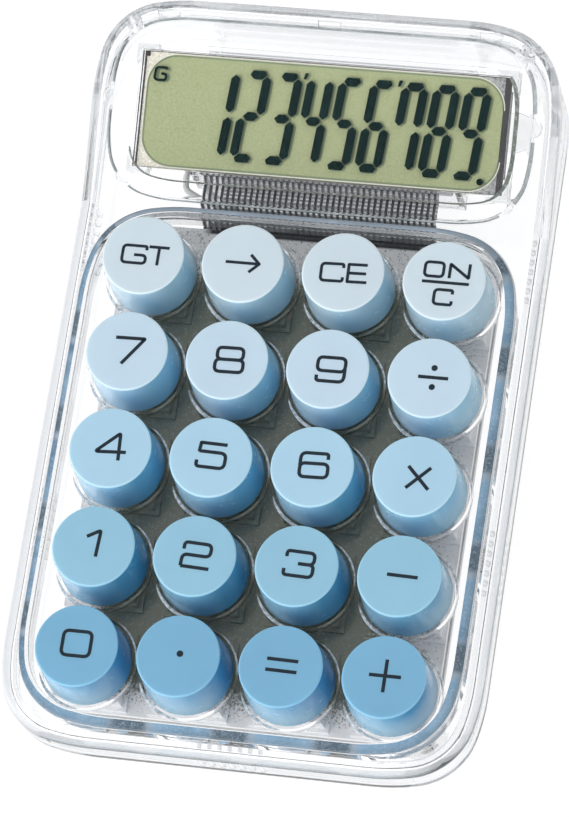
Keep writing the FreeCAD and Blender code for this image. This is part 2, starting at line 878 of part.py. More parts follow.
def make_keycap():
    """Hollow round cap with a slightly conical skirt and a cross socket in a post."""
    top = cap_top
    draft = (cap_rim_radius - cap_top_radius) / cap_height
    inner_top = top - cap_roof
    inner_rim = cap_rim_radius - cap_wall
    inner_high = inner_rim - draft * (inner_top - cap_rim)
    outer = Part.makeCone(cap_rim_radius, cap_top_radius, cap_height, FreeCAD.Vector(0, 0, cap_rim), Z)
    outer = outer.makeFillet(cap_edge_radius, level_edges(outer, top))
    hollow = Part.makeCone(inner_rim, inner_high, inner_top - cap_rim, FreeCAD.Vector(0, 0, cap_rim), Z)
    cap = outer.cut(hollow)
    post_low = cap_rim + cap_post_lift
    post = rod(cap_post_radius, 0.0, 0.0, post_low, inner_top + cap_roof / 2)
    socket = cross_post(cross_clearance, post_low, post_low + cross_height + 2 * cross_clearance)
    return cap.fuse(post).cut(socket).removeSplitter()


def cross_post(grow, z0, z1):
    """The plus-shaped post on a plunger, or the socket for it."""
    arm = cross_arm + 2 * grow
    bar = cross_bar + 2 * grow
    return block(0.0, 0.0, arm, bar, z0, z1).fuse(block(0.0, 0.0, bar, arm, z0, z1)).removeSplitter()


def make_plunger():
    """Sliding part of a switch: cross, stem, shoulder and pole."""
    post_low = cap_rim + cap_post_lift
    shoulder_top = switch_top - switch_wall - spring_end_gap
    shoulder_low = shoulder_top - shoulder_height
    pieces = [
        cross_post(0.0, post_low - plunger_overlap, post_low + cross_height),
        block(0.0, 0.0, plunger_length, plunger_depth, shoulder_top - plunger_overlap, post_low),
        block(0.0, 0.0, shoulder_length, shoulder_depth, shoulder_low, shoulder_top),
        rod(pole_radius, 0.0, 0.0, shoulder_low - pole_length, shoulder_low + plunger_overlap),
    ]
    return fuse(pieces)


def make_switch_top():
    """Upper housing with its flange on the plate and a square opening for the plunger."""
    flange = block(0.0, 0.0, switch_flange, switch_flange, plate_top, plate_top + switch_flange_height)
    tower = block(0.0, 0.0, switch_top_size, switch_top_size, plate_top, switch_top)
    tower = tower.makeChamfer(switch_edge, level_edges(tower, switch_top))
    inside = switch_top_size - 2 * switch_wall
    cavity = block(0.0, 0.0, inside, inside, 0.0, switch_top - switch_wall)
    length = plunger_length + 2 * plunger_clearance
    depth = plunger_depth + 2 * plunger_clearance
    opening = block(0.0, 0.0, length, depth, 0.0, far)
    return fuse([flange, tower]).cut(cavity).cut(opening)


def make_switch_base():
    """Lower housing: an open box in the plate's hole, with a guide that passes through the board."""
    outside = switch_base_size
    inside = switch_base_size - 2 * switch_wall
    floor_level = board_top + switch_base_floor
    base = block(0.0, 0.0, outside, outside, board_top, plate_top)
    base = base.cut(block(0.0, 0.0, inside, inside, floor_level, far))
    guide = rod(guide_radius, 0.0, 0.0, board_top - guide_depth, floor_level)
    base = fuse([base, guide])
    base = base.cut(rod(guide_bore, 0.0, 0.0, board_top - guide_depth + guide_bottom, far))
    for px, py in contact_places(0.0, 0.0):
        base = base.cut(rod(pin_radius + pin_clearance, px, py, 0.0, far))
    return base


def make_switch_spring():
    """Return spring of a switch, as a plain sleeve of its outer size."""
    low = board_top - guide_depth + guide_bottom + spring_end_gap
    high = switch_top - switch_wall - spring_end_gap - shoulder_height - spring_end_gap
    sleeve = rod(spring_outer_radius, 0.0, 0.0, low, high)
    return sleeve.cut(rod(spring_outer_radius - spring_wire, 0.0, 0.0, low, high))


def make_switch_contacts():
    """The two blades of a switch with their pins through the board."""
    blades = []
    floor_level = board_top + switch_base_floor
    for px, py in contact_places(0.0, 0.0):
        top = floor_level + contact_height
        blade = block(px, py, contact_width, contact_thickness, floor_level, top)
        pin = rod(pin_radius, px, py, board_bottom - pin_end, floor_level + pin_radius)
        blades.append(fuse([blade, pin]))
    return blades


def make_controller_chip():
    """Domed blob over the controller, on the underside of the board."""
    x = 0.0
    y = keypad_y + key_pitch / 2
    dome = rod(chip_radius, x, y, board_bottom - chip_height, board_bottom)
    return dome.makeFillet(chip_edge_radius, level_edges(dome, board_bottom - chip_height))


def make_board_components():
    """Small chip parts in rows on the underside of the board."""
    parts = []
    low = board_bottom - small_part_height
    for row in range(small_part_rows):
        for column in range(small_part_columns):
            x = (column - (small_part_columns - 1) / 2) * small_part_pitch
            y = keypad_y - key_pitch / 2 + (row - (small_part_rows - 1) / 2) * small_part_pitch
            parts.append(block(x, y, small_part_length, small_part_width, low, board_bottom))
    return parts


def battery(y, way):
    """One cell, with its nub pointing along X or against it."""
    tip = way * (bay_half_x - contact_plate_thickness)
    can_length = battery_length - battery_nub_length
    direction = X * -way
    end = FreeCAD.Vector(tip, y, battery_z)
    nub = Part.makeCylinder(battery_nub_radius, battery_nub_length, end, direction)
    shoulder = end + direction * battery_nub_length
    can = Part.makeCylinder(battery_radius, can_length, shoulder, direction)
    return fuse([can, nub])


def contact_spring(y, way):
    """Coil that presses on a cell's flat end, on a wall plate."""
    wire_radius = battery_spring_wire / 2
    coil_radius = battery_spring_radius - wire_radius
    length = battery_spring_length - battery_spring_wire
    helix = Part.makeHelix(length / battery_spring_turns, length, coil_radius)
    section = Part.Wire(Part.makeCircle(wire_radius, FreeCAD.Vector(coil_radius, 0, 0), Y))
    coil = Part.Wire(helix.Edges).makePipeShell([section], True, True)
    coil.rotate(ZERO, Y, 90.0 * way)
    plate_face = -way * (bay_half_x - contact_plate_thickness)
    coil.translate(FreeCAD.Vector(plate_face + way * wire_radius, y, battery_z))
    return coil


def make_battery_contacts():
    """Plates at both ends of the bay, and the two coils."""
    solids = []
    low = battery_z - contact_plate_height / 2
    high = battery_z + contact_plate_height / 2
    half = contact_plate_width / 2
    for y in (battery_front_y, battery_back_y):
        solids.append(
            box(-bay_half_x, -bay_half_x + contact_plate_thickness, y - half, y + half, low, high)
        )
    solids.append(
        box(
            bay_half_x - contact_plate_thickness, bay_half_x,
            battery_front_y - half, battery_back_y + half, low, high,
        )
    )
    coils = [contact_spring(battery_front_y, 1), contact_spring(battery_back_y, -1)]
    return solids + coils


def bent_wire(points, bend, radius):
    """A round wire at one height that follows points in plan, with rounded bends."""
    spots = [FreeCAD.Vector(x, y, lead_z) for x, y in points]
    edges = []
    here = spots[0]
    for before, corner, after in zip(spots, spots[1:], spots[2:]):
        arriving = (corner - before).normalize()
        leaving = (after - corner).normalize()
        angle = arriving.getAngle(leaving)
        start = corner - arriving * (bend * math.tan(angle / 2))
        end = corner + leaving * (bend * math.tan(angle / 2))
        inward = (leaving - arriving).normalize()
        centre = corner + inward * (bend / math.cos(angle / 2))
        edges.append(Part.LineSegment(here, start).toShape())
        edges.append(Part.Arc(start, centre - inward * bend, end).toShape())
        here = end
    edges.append(Part.LineSegment(here, spots[-1]).toShape())
    section = Part.Wire(Part.makeCircle(radius, spots[0], (spots[1] - spots[0]).normalize()))
    return Part.Wire(edges).makePipeShell([section], True, False)


def make_battery_leads():
    """Two insulated wires from the plates on the left of the bay to the board's tongue."""
    landing = tongue_back - lead_landing
    turn_y = bay_front - bay_wall - lead_run_out
    step_y = turn_y - lead_side_step
    first_x = lead_x + lead_inward
    second_x = first_x + lead_spacing
    outer_x = -bay_half_x - bay_wall - lead_bend_radius
    near = [
        (lead_x, battery_front_y - contact_plate_width / 2 + lead_radius),
        (lead_x, turn_y),
        (second_x, step_y),
        (second_x, landing),
    ]
    long = [
        (lead_x, lead_back_y),
        (outer_x, lead_back_y),
        (outer_x, turn_y),
        (first_x, step_y),
        (first_x, landing),
    ]
    return [bent_wire(route, lead_bend_radius, lead_radius) for route in (near, long)]


def make_battery_door():
    """Flat door in the floor, turning on two short pins at its front edge."""
    low = foot_height
    high = foot_height + door_thickness
    plate = box(-door_half_x, door_half_x, door_axis_y, door_back, low, high)
    edge = Part.makeCylinder(
        door_thickness / 2, 2 * door_half_x, FreeCAD.Vector(-door_half_x, door_axis_y, door_axis_z), X
    )
    reach = door_half_x + door_clearance + door_pin_length - door_pin_clearance
    pin = Part.makeCylinder(door_pin_radius, 2 * reach, FreeCAD.Vector(-reach, door_axis_y, door_axis_z), X)
    door = fuse([plate, edge, pin])
    for i in range(door_groove_count):
        y = door_back - (2 * i + 3) * door_groove_width
        groove = block(0.0, y, thumb_notch_radius * 2, door_groove_width, 0.0, low + door_groove_depth)
        door = door.cut(groove)
    return door


def make_rubber_feet():
    """Four round pads in shallow recesses."""
    feet = []
    for sx in (-1, 1):
        for sy in (-1, 1):
            radius = foot_radius - foot_clearance
            pad = rod(radius, sx * foot_x, sy * foot_y, 0.0, foot_height + foot_recess)
            feet.append(pad.makeFillet(foot_edge_radius, level_edges(pad, 0.0)))
    return feet


def make_board_fasteners():
    """Four screws from below, through the posts and the board, and the threaded spacers they hold."""
    solids = []
    head_low = foot_height + screw_head_recess
    head_top = head_low + screw_head_height
    slot_top = head_low + screw_slot_depth
    for x, y in screw_places():
        head = rod(screw_head_radius, x, y, head_low, head_top)
        head = head.makeFillet(screw_head_edge, level_edges(head, head_low))
        shank = rod(screw_radius, x, y, slot_top, plate_bottom - screw_end_gap)
        one = block(x, y, screw_slot_length, screw_slot_width, head_low, slot_top)
        two = block(x, y, screw_slot_width, screw_slot_length, head_low, slot_top)
        solids.append(fuse([head, shank]).cut(one).cut(two))
        spacer = rod(spacer_radius, x, y, board_top, plate_bottom)
        bore = rod(screw_radius + thread_clearance, x, y, board_top, plate_bottom)
        solids.append(spacer.cut(bore))
    return solids


def copies(shapes, places):
    """Copies of the shapes at every key."""
    placed = []
    for name, x, y in places:
        for shape in shapes:
            moved = shape.copy()
            moved.translate(FreeCAD.Vector(x, y, 0))
            placed.append(moved)
    return placed


def save(name, shapes):
    """Writes one node, as a solid or as a group of separate solids."""
    if isinstance(shapes, list):
        shape = Part.makeCompound(shapes)
    else:
        shape = shapes
    shape.exportStep("parts/" + name + ".step")
    print(name, "solids", len(shape.Solids), "volume", round(shape.Volume, 1), "valid", shape.isValid())


def main():
    os.makedirs("parts", exist_ok=True)
    save("top_cover", make_top_cover())
    save("bottom_cover", make_bottom_cover())
    save("display_window", make_display_window())
    save("lcd_panel", make_lcd_panel())
    save("lcd_holder", make_lcd_holder())
    save("lcd_ribbon", make_lcd_ribbon())
    save("switch_plate", make_switch_plate())
    save("keypad_board", make_keypad_board())
    save("controller_chip", make_controller_chip())
    save("board_components", make_board_components())
    save("switch_bases", copies([make_switch_base()], key_places()))
    save("switch_tops", copies([make_switch_top()], key_places()))
    save("switch_springs", copies([make_switch_spring()], key_places()))
    save("switch_contacts", copies(make_switch_contacts(), key_places()))
    save("batteries", [battery(battery_front_y, 1), battery(battery_back_y, -1)])
    save("battery_contacts", make_battery_contacts())
    save("battery_leads", make_battery_leads())
    save("battery_door", make_battery_door())
    save("rubber_feet", make_rubber_feet())
    save("board_fasteners", make_board_fasteners())
    cap = make_keycap()
    plunger = make_plunger()
    for place in key_places():
        save("keycap_" + place[0], copies([cap], [place])[0])
        save("plunger_" + place[0], copies([plunger], [place])[0])
    print("body", 2 * body_half_x, "by", round(body_length, 2), "key top", cap_top, "deck", deck_top)
    print("keypad y", round(keypad_y, 3), "kink y", round(kink_y, 3), "bay", bay_front, bay_back)


main()
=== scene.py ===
import bpy
import bmesh
import math
from mathutils import Matrix, Vector


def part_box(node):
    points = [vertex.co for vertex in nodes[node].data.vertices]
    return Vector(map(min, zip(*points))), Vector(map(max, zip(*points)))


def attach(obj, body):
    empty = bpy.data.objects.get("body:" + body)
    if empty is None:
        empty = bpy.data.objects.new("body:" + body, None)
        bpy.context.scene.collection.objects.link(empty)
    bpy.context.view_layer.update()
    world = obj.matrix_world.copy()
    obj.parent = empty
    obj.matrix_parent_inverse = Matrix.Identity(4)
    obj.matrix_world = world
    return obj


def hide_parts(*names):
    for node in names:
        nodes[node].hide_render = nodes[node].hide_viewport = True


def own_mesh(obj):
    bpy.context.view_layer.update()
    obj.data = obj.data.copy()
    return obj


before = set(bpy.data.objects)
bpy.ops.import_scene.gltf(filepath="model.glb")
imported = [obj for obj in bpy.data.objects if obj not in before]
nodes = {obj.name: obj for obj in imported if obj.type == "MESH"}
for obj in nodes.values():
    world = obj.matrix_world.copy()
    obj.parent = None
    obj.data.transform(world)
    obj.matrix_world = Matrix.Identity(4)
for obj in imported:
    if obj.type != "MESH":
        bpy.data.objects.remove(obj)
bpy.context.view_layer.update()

# Driving sizes, in metres
mm = 0.001
spring_radius = 1.7 * mm
spring_wire = 0.35 * mm
collar_radius = 9.15 * mm
lcd_width = 71.0 * mm
lcd_height = 22.3 * mm
lcd_glass = 1.1 * mm
lcd_seal = 0.1 * mm
lcd_reflector = 0.4 * mm
ribbon_width = 45.5 * mm
ribbon_bars = 40
rung_pitch = 0.74 * mm
display_tilt = math.radians(16.0)

# Heights from the frame: the caps' rims, which are level with the collars at rest, and their tops
cap_rim, cap_top = (corner.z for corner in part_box("keycap_0"))
collar_top = cap_rim

# The camera stands where the photograph was taken
camera_place = (0.19602, -0.29057, 0.88999)
camera_turn = (19.4624, 9.7080, 8.8055)
camera_lens = 223.26

# Rows of keys from the front: slot, colour of the tops, share of it on the skirts' painted shade side, and
# names
key_rows = [
    ("key_front", (0.498, 0.718, 0.847), (0.54, 0.80, 0.90), ["0", "dot", "equals", "plus"]),
    ("key_second", (0.600, 0.790, 0.886), (0.54, 0.80, 0.89), ["1", "2", "3", "minus"]),
    ("key_third", (0.700, 0.850, 0.940), (0.60, 0.85, 0.93), ["4", "5", "6", "multiply"]),
    ("key_fourth", (0.792, 0.882, 0.949), (0.73, 0.91, 0.97), ["7", "8", "9", "divide"]),
    ("key_back", (0.835, 0.898, 0.937), (0.84, 0.94, 0.98), ["gt", "arrow", "ce", "on_c"]),
]
keys = [key for slot, colour, depth, row in key_rows for key in row]

white = (1.0, 1.0, 1.0, 1.0)


def linear(colour):
    """A screen colour as the linear values that a shader takes."""
    return tuple(c / 12.92 if c <= 0.04045 else ((c + 0.055) / 1.055) ** 2.4 for c in colour) + (1.0,)


# Node tools

class Nodes:
    """A node tree under construction."""

    def __init__(self, tree):
        self.tree = tree
        tree.nodes.clear()

    def add(self, kind, **values):
        """A node with its properties set."""
        node = self.tree.nodes.new(kind)
        for name, value in values.items():
            setattr(node, name, value)
        return node

    def link(self, source, target):
        self.tree.links.new(source, target)

    def split(self, vector):
        """The three parts of a vector."""
        node = self.add("ShaderNodeSeparateXYZ")
        self.link(vector, node.inputs[0])
        return list(node.outputs)

    def ramp(self, value, low, high, out_low=0.0, out_high=1.0):
        """A value mapped from one range to another, and held at its ends."""
        node = self.add("ShaderNodeMapRange")
        limits = {"From Min": low, "From Max": high, "To Min": out_low, "To Max": out_high}
        for name, number in limits.items():
            node.inputs[name].default_value = number
        self.link(value, node.inputs["Value"])
        return node.outputs["Result"]

    def math(self, operation, one, two=None):
        """A sum, product or the like of two values, each a socket or a number."""
        node = self.add("ShaderNodeMath", operation=operation)
        for socket, value in zip(node.inputs, (one, two)):
            if value is None:
                continue
            if isinstance(value, (int, float)):
                socket.default_value = value
            else:
                self.link(value, socket)
        return node.outputs[0]

    def mix(self, factor, one, two):
        """A shader between two others."""
        node = self.add("ShaderNodeMixShader")
        self.link(factor, node.inputs[0])
        self.link(one.outputs[0], node.inputs[1])
        self.link(two.outputs[0], node.inputs[2])
        return node


class Material(Nodes):
    """A node material under construction."""

    def __init__(self, name):
        self.material = bpy.data.materials.new(name)
        self.material.use_nodes = True
        super().__init__(self.material.node_tree)
        self.output = self.add("ShaderNodeOutputMaterial")
        self.place = self.add("ShaderNodeTexCoord").outputs["Object"]

    def noise(self, scale, detail=3.0, rough=0.55):
        """A noise value in object space, with its scale in features per metre."""
        node = self.add("ShaderNodeTexNoise")
        node.inputs["Scale"].default_value = scale
        node.inputs["Detail"].default_value = detail
        node.inputs["Roughness"].default_value = rough
        self.link(self.place, node.inputs["Vector"])
        return node.outputs["Fac"]

    def blend(self, factor, one, two):
        """A colour between two others, each a socket or four numbers."""
        node = self.add("ShaderNodeMix", data_type="RGBA")
        self.link(factor, node.inputs["Factor"])
        for name, value in (("A", one), ("B", two)):
            socket = [s for s in node.inputs if s.name == name and s.type == "RGBA"][0]
            if isinstance(value, tuple):
                socket.default_value = value
            else:
                self.link(value, socket)
        return [s for s in node.outputs if s.type == "RGBA"][0]

    def bump(self, height, strength, distance):
        """A surface normal from a height value."""
        node = self.add("ShaderNodeBump")
        node.inputs["Strength"].default_value = strength
        node.inputs["Distance"].default_value = distance
        self.link(height, node.inputs["Height"])
        return node.outputs["Normal"]

    def principled(self, **values):
        """The main shader, with its constants on its own sockets."""
        shader = self.add("ShaderNodeBsdfPrincipled")
        for name, value in values.items():
            socket = shader.inputs[name.replace("_", " ")]
            if hasattr(value, "is_linked"):
                self.link(value, socket)
            else:
                socket.default_value = value
        return shader

    def finish(self, shader):
        self.link(shader.outputs[0], self.output.inputs["Surface"])
        return self.material


# Materials

def clear_plastic(name, tint, density, roughness, ripple, edge, bending=1.49):
    """Clear moulded plastic with painted grey shade at grazing angles, that lets lamp light through to what
    is behind it.
    """
    deepest_ray = 6.5
    m = Material(name)
    haze = m.ramp(m.noise(900.0, 4.0), 0.42, 0.72, roughness, roughness * 3.0 + 0.02)
    normal = m.bump(m.noise(140.0, 2.0), ripple, 0.3 * mm)
    glance = m.add("ShaderNodeLayerWeight")
    glance.inputs["Blend"].default_value = 0.35
    # Painted shade: the tone turns towards the edge grey where the surface is seen at a grazing angle
    tone = m.blend(m.ramp(glance.outputs["Facing"], 0.10, 0.75), white, linear(edge))
    glass = m.principled(
        Base_Color=tone, Roughness=haze, IOR=bending, Transmission_Weight=1.0, Normal=normal
    )
    path = m.add("ShaderNodeLightPath").outputs
    through = m.add("ShaderNodeBsdfTransparent")
    through.inputs["Color"].default_value = (0.99, 0.992, 0.995, 1.0)
    shader = m.mix(m.math("GREATER_THAN", path["Ray Depth"], deepest_ray), glass, through)
    shader = m.mix(path["Is Shadow Ray"], shader, through)
    shader = m.mix(path["Is Diffuse Ray"], shader, through)
    body = m.add("ShaderNodeVolumeAbsorption")
    body.inputs["Color"].default_value = linear(tint)
    body.inputs["Density"].default_value = density
    m.link(body.outputs[0], m.output.inputs["Volume"])
    return m.finish(shader)


def moulded_plastic(name, colour, deeper, rough, grain, gloss=0.5):
    """Opaque moulded plastic with fine grain, slight colour drift and rubbed patches."""
    m = Material(name)
    drift = m.ramp(m.noise(60.0, 4.0), 0.3, 0.7)
    shader = m.principled(
        Base_Color=m.blend(drift, linear(colour), linear(deeper)),
        Roughness=m.ramp(m.noise(260.0, 5.0), 0.35, 0.7, rough - 0.06, rough + 0.08),
        IOR=1.5, Specular_IOR_Level=gloss, Normal=m.bump(m.noise(grain, 2.0), 0.25, 0.02 * mm),
    )
    return m.finish(shader)


def metal(name, colour, darker, rough, speck_scale, depth):
    """Bare or plated metal with a speckled tone."""
    m = Material(name)
    specks = m.ramp(m.noise(speck_scale, 6.0, 0.7), 0.36, 0.64)
    shader = m.principled(
        Base_Color=m.blend(specks, linear(darker), linear(colour)), Metallic=1.0,
        Roughness=m.ramp(m.noise(speck_scale * 0.6, 4.0), 0.3, 0.7, rough - 0.08, rough + 0.12),
        Normal=m.bump(m.noise(speck_scale, 5.0), depth, 0.05 * mm),
    )
    return m.finish(shader)


def plate_material():
    """The sandblasted plate: olive grey between the keys, with painted paleness at its rim and back for the
    bright light it mirrors there, and a painted shadow that makes it dark under the ribbon.
    """
    m = Material("speckled_plate")
    x, y = m.split(m.place)[:2]
    # Painted sheen: the rim and the back of the plate are made paler, for the bright light that it mirrors
    # there
    right = m.ramp(x, 20.0 * mm, 36.0 * mm)
    left = m.ramp(x, -34.0 * mm, -27.0 * mm, 1.0, 0.0)
    front = m.ramp(y, -64.0 * mm, -56.0 * mm, 1.0, 0.0)
    back = m.ramp(y, 20.0 * mm, 27.0 * mm, 0.0, 0.72)
    rim = m.math("MAXIMUM", m.math("MAXIMUM", right, left), front)
    painted_sheen = m.math("MAXIMUM", rim, back)
    # Painted shadow: nearly black under the ribbon
    across = m.ramp(m.math("ABSOLUTE", x), 20.0 * mm, 22.0 * mm, 1.0, 0.0)
    painted_shadow = m.math("MULTIPLY", across, m.ramp(y, 30.9 * mm, 31.3 * mm))
    grains = m.noise(2000.0, 4.0, 0.8)
    bright = m.ramp(m.math("ADD", grains, m.math("MULTIPLY", painted_sheen, 0.26)), 0.555, 0.635)
    dark = m.blend(m.noise(90.0, 4.0), linear((0.49, 0.53, 0.48)), linear((0.60, 0.60, 0.53)))
    dark = m.blend(m.math("MULTIPLY", painted_sheen, 0.7), dark, linear((0.38, 0.38, 0.40)))
    pale = m.blend(m.ramp(painted_sheen, 0.0, 0.5), linear((0.68, 0.70, 0.66)), (1.0, 0.99, 0.99, 1.0))
    shader = m.principled(
        Base_Color=m.blend(painted_shadow, m.blend(bright, dark, pale), linear((0.08, 0.10, 0.11))),
        Metallic=m.ramp(bright, 0.0, 1.0, 0.35, 0.0),
        Roughness=m.ramp(m.noise(1500.0, 4.0), 0.3, 0.7, 0.32, 0.5),
        Normal=m.bump(grains, 0.4, 0.05 * mm),
    )
    return m.finish(shader)


def board_material():
    """Dark solder mask, with a bare white border at the sides and front of the board."""
    m = Material("board_dark")
    x, y = m.split(m.place)[:2]
    side = m.ramp(m.math("ABSOLUTE", x), 33.2 * mm, 33.8 * mm)
    front = m.ramp(y, -62.2 * mm, -61.6 * mm, 1.0, 0.0)
    weave = m.ramp(m.noise(2000.0, 2.0), 0.3, 0.7)
    mask = m.blend(weave, linear((0.13, 0.16, 0.16)), linear((0.18, 0.21, 0.21)))
    bare = m.blend(weave, linear((0.90, 0.91, 0.91)), linear((0.97, 0.97, 0.96)))
    shader = m.principled(
        Base_Color=m.blend(m.math("MAXIMUM", side, front), mask, bare),
        Roughness=m.ramp(weave, 0.0, 1.0, 0.35, 0.5), Normal=m.bump(weave, 0.06, 0.02 * mm),
    )
    return m.finish(shader)


def lcd_field_material():
    """The reflective layer of the display, a grainy olive."""
    m = Material("lcd_field")
    grains = m.ramp(m.noise(2600.0, 3.0), 0.3, 0.7)
    clouds = m.ramp(m.noise(70.0, 3.0), 0.3, 0.7)
    tone = m.blend(grains, linear((0.645, 0.680, 0.495)), linear((0.735, 0.765, 0.590)))
    tone = m.blend(m.math("MULTIPLY", clouds, 0.3), tone, linear((0.71, 0.735, 0.545)))
    return m.finish(m.principled(Base_Color=tone, Roughness=m.ramp(grains, 0.0, 1.0, 0.5, 0.65), IOR=1.45))


def lcd_back_material():
    """Silvered back layer, beige at its left end and duller at its right end, where shade from the window's
    edge is painted.
    """
    m = Material("lcd_back")
    # Painted shade: duller tones towards the right end
    right = m.ramp(m.split(m.place)[0], 20.0 * mm, 33.0 * mm)
    specks = m.ramp(m.noise(2600.0, 6.0, 0.7), 0.36, 0.64)
    left_tone = m.blend(specks, linear((0.78, 0.75, 0.67)), linear((0.95, 0.94, 0.90)))
    right_shade_tone = m.blend(specks, linear((0.42, 0.42, 0.42)), linear((0.74, 0.75, 0.75)))
    shader = m.principled(
        Base_Color=m.blend(right, left_tone, right_shade_tone), Metallic=0.6,
        Roughness=m.ramp(specks, 0.0, 1.0, 0.3, 0.5), Normal=m.bump(specks, 0.3, 0.05 * mm),
    )
    return m.finish(shader)


def ribbon_material():
    """A clear film with dark bars along it and rungs across, that turns nearly black towards the board with
    painted shade.
    """
    m = Material("ribbon_bars")
    x, y = m.split(m.place)[:2]

    def from_middle(value, pitch):
        """How far a place is from the middle of its step, as a share of the step."""
        phase = m.math("FRACT", m.math("DIVIDE", m.math("ADD", value, 1.0), pitch))
        return m.math("ABSOLUTE", m.math("SUBTRACT", phase, 0.5))

    bars = m.ramp(from_middle(x, ribbon_width / ribbon_bars), 0.20, 0.26, 1.0, 0.0)
    rungs = m.ramp(from_middle(y, rung_pitch), 0.20, 0.34, 0.75, 0.0)
    rungs = m.math("MULTIPLY", rungs, m.ramp(x, -19.2 * mm, -18.4 * mm))
    bars = m.math("MAXIMUM", bars, rungs)
    # Painted shade: the film turns nearly black as it runs down towards the board
    lower = m.ramp(y, 34.0 * mm, 35.2 * mm, 1.0, 0.0)
    lower = m.math("MULTIPLY", lower, m.ramp(x, -19.6 * mm, -19.2 * mm))
    fleck = m.ramp(m.noise(3000.0, 4.0), 0.3, 0.7)
    dark = m.blend(fleck, linear((0.22, 0.23, 0.25)), linear((0.34, 0.35, 0.37)))
    light = m.blend(fleck, linear((0.86, 0.86, 0.86)), linear((0.97, 0.97, 0.96)))
    light = m.blend(lower, light, linear((0.15, 0.18, 0.19)))
    dark = m.blend(lower, dark, linear((0.07, 0.10, 0.11)))
    clear = m.math("MULTIPLY", m.math("SUBTRACT", 1.0, bars), m.math("SUBTRACT", 1.0, lower))
    shader = m.principled(
        Base_Color=m.blend(bars, light, dark), Roughness=m.ramp(bars, 0.0, 1.0, 0.35, 0.5),
        Alpha=m.ramp(clear, 0.0, 1.0, 1.0, 0.35), Normal=m.bump(bars, 0.2, 0.05 * mm),
    )
    return m.finish(shader)


def ink_material():
    """Dark slate print with a slightly uneven coat."""
    m = Material("slate_print")
    patches = m.ramp(m.noise(900.0, 5.0), 0.35, 0.7)
    tone = m.blend(patches, linear((0.10, 0.15, 0.19)), linear((0.14, 0.19, 0.23)))
    return m.finish(m.principled(Base_Color=tone, Roughness=m.ramp(patches, 0.0, 1.0, 0.6, 0.75), IOR=1.35))


def cap_material(name, colour, depth):
    """Semi-gloss moulded plastic with painted light: the skirt shaded deeper than its top away from the lamp,
    and a painted highlight on the edge between.
    """
    m = Material(name)
    x, y, height = m.split(m.place)
    lean_x, lean_y = m.split(m.add("ShaderNodeNewGeometry").outputs["Normal"])[:2]

    drift = m.ramp(m.noise(60.0, 4.0), 0.3, 0.7)
    top = m.blend(drift, linear(colour), linear(tuple(c * 0.975 for c in colour)))
    # Painted highlight: a paler tone for the rounded top edge
    edge = linear(tuple(min(1.0, c * 1.06 + 0.02) for c in colour))

    # Painted light: the skirt is lighter at its front left, which faces the lamp, and shaded deeper away from
    # it; a painted reflection makes it paler at the foot of the keys along the right and front
    deep = linear(tuple(c * d for c, d in zip(colour, depth)))
    light = linear((colour[0] * 0.93, colour[1] * 0.98, colour[2]))
    front = m.math("ADD", m.math("MULTIPLY", lean_x, -0.6), m.math("MULTIPLY", lean_y, -0.8))
    skirt = m.blend(m.ramp(front, 0.15, 0.85), deep, light)
    by_right = m.ramp(x, 30.0 * mm, 34.0 * mm)
    by_front = m.ramp(y, -62.5 * mm, -59.0 * mm, 1.0, 0.0)
    foot = m.ramp(height, cap_rim + 2.0 * mm, cap_rim + 8.0 * mm, 0.5, 0.0)
    # Painted reflection: the foot of the outer keys turns paler
    foot_reflection = m.math("MULTIPLY", m.math("MAXIMUM", by_right, by_front), foot)
    skirt = m.blend(foot_reflection, skirt, linear((0.62, 0.76, 0.82)))

    on_highlight_edge = m.ramp(height, cap_top - 0.45 * mm, cap_top - 0.25 * mm)
    on_top = m.ramp(height, cap_top - 0.07 * mm, cap_top - 0.01 * mm)
    tone = m.blend(on_top, m.blend(on_highlight_edge, skirt, edge), top)
    rubbed = m.ramp(m.noise(260.0, 5.0), 0.35, 0.7, -0.06, 0.08)
    rough = m.math("ADD", rubbed, m.ramp(height, cap_top - 0.6 * mm, cap_top - 0.1 * mm, 0.22, 0.46))
    shader = m.principled(
        Base_Color=tone, Roughness=rough, IOR=1.5, Subsurface_Weight=0.25,
        Subsurface_Radius=(0.85, 0.95, 1.0), Subsurface_Scale=2.5 * mm,
        Normal=m.bump(m.noise(4200.0, 2.0), 0.25, 0.02 * mm),
    )
    return m.finish(shader)


def glint_material():
    """White with faint grey specks, as a rounded clear rim in the light."""
    m = Material("collar_glint")
    specks = m.ramp(m.noise(1500.0, 4.0), 0.38, 0.62)
    tone = m.blend(specks, linear((0.70, 0.74, 0.77)), white)
    return m.finish(m.principled(Base_Color=tone, Roughness=m.ramp(specks, 0.0, 1.0, 0.4, 0.25), IOR=1.45))


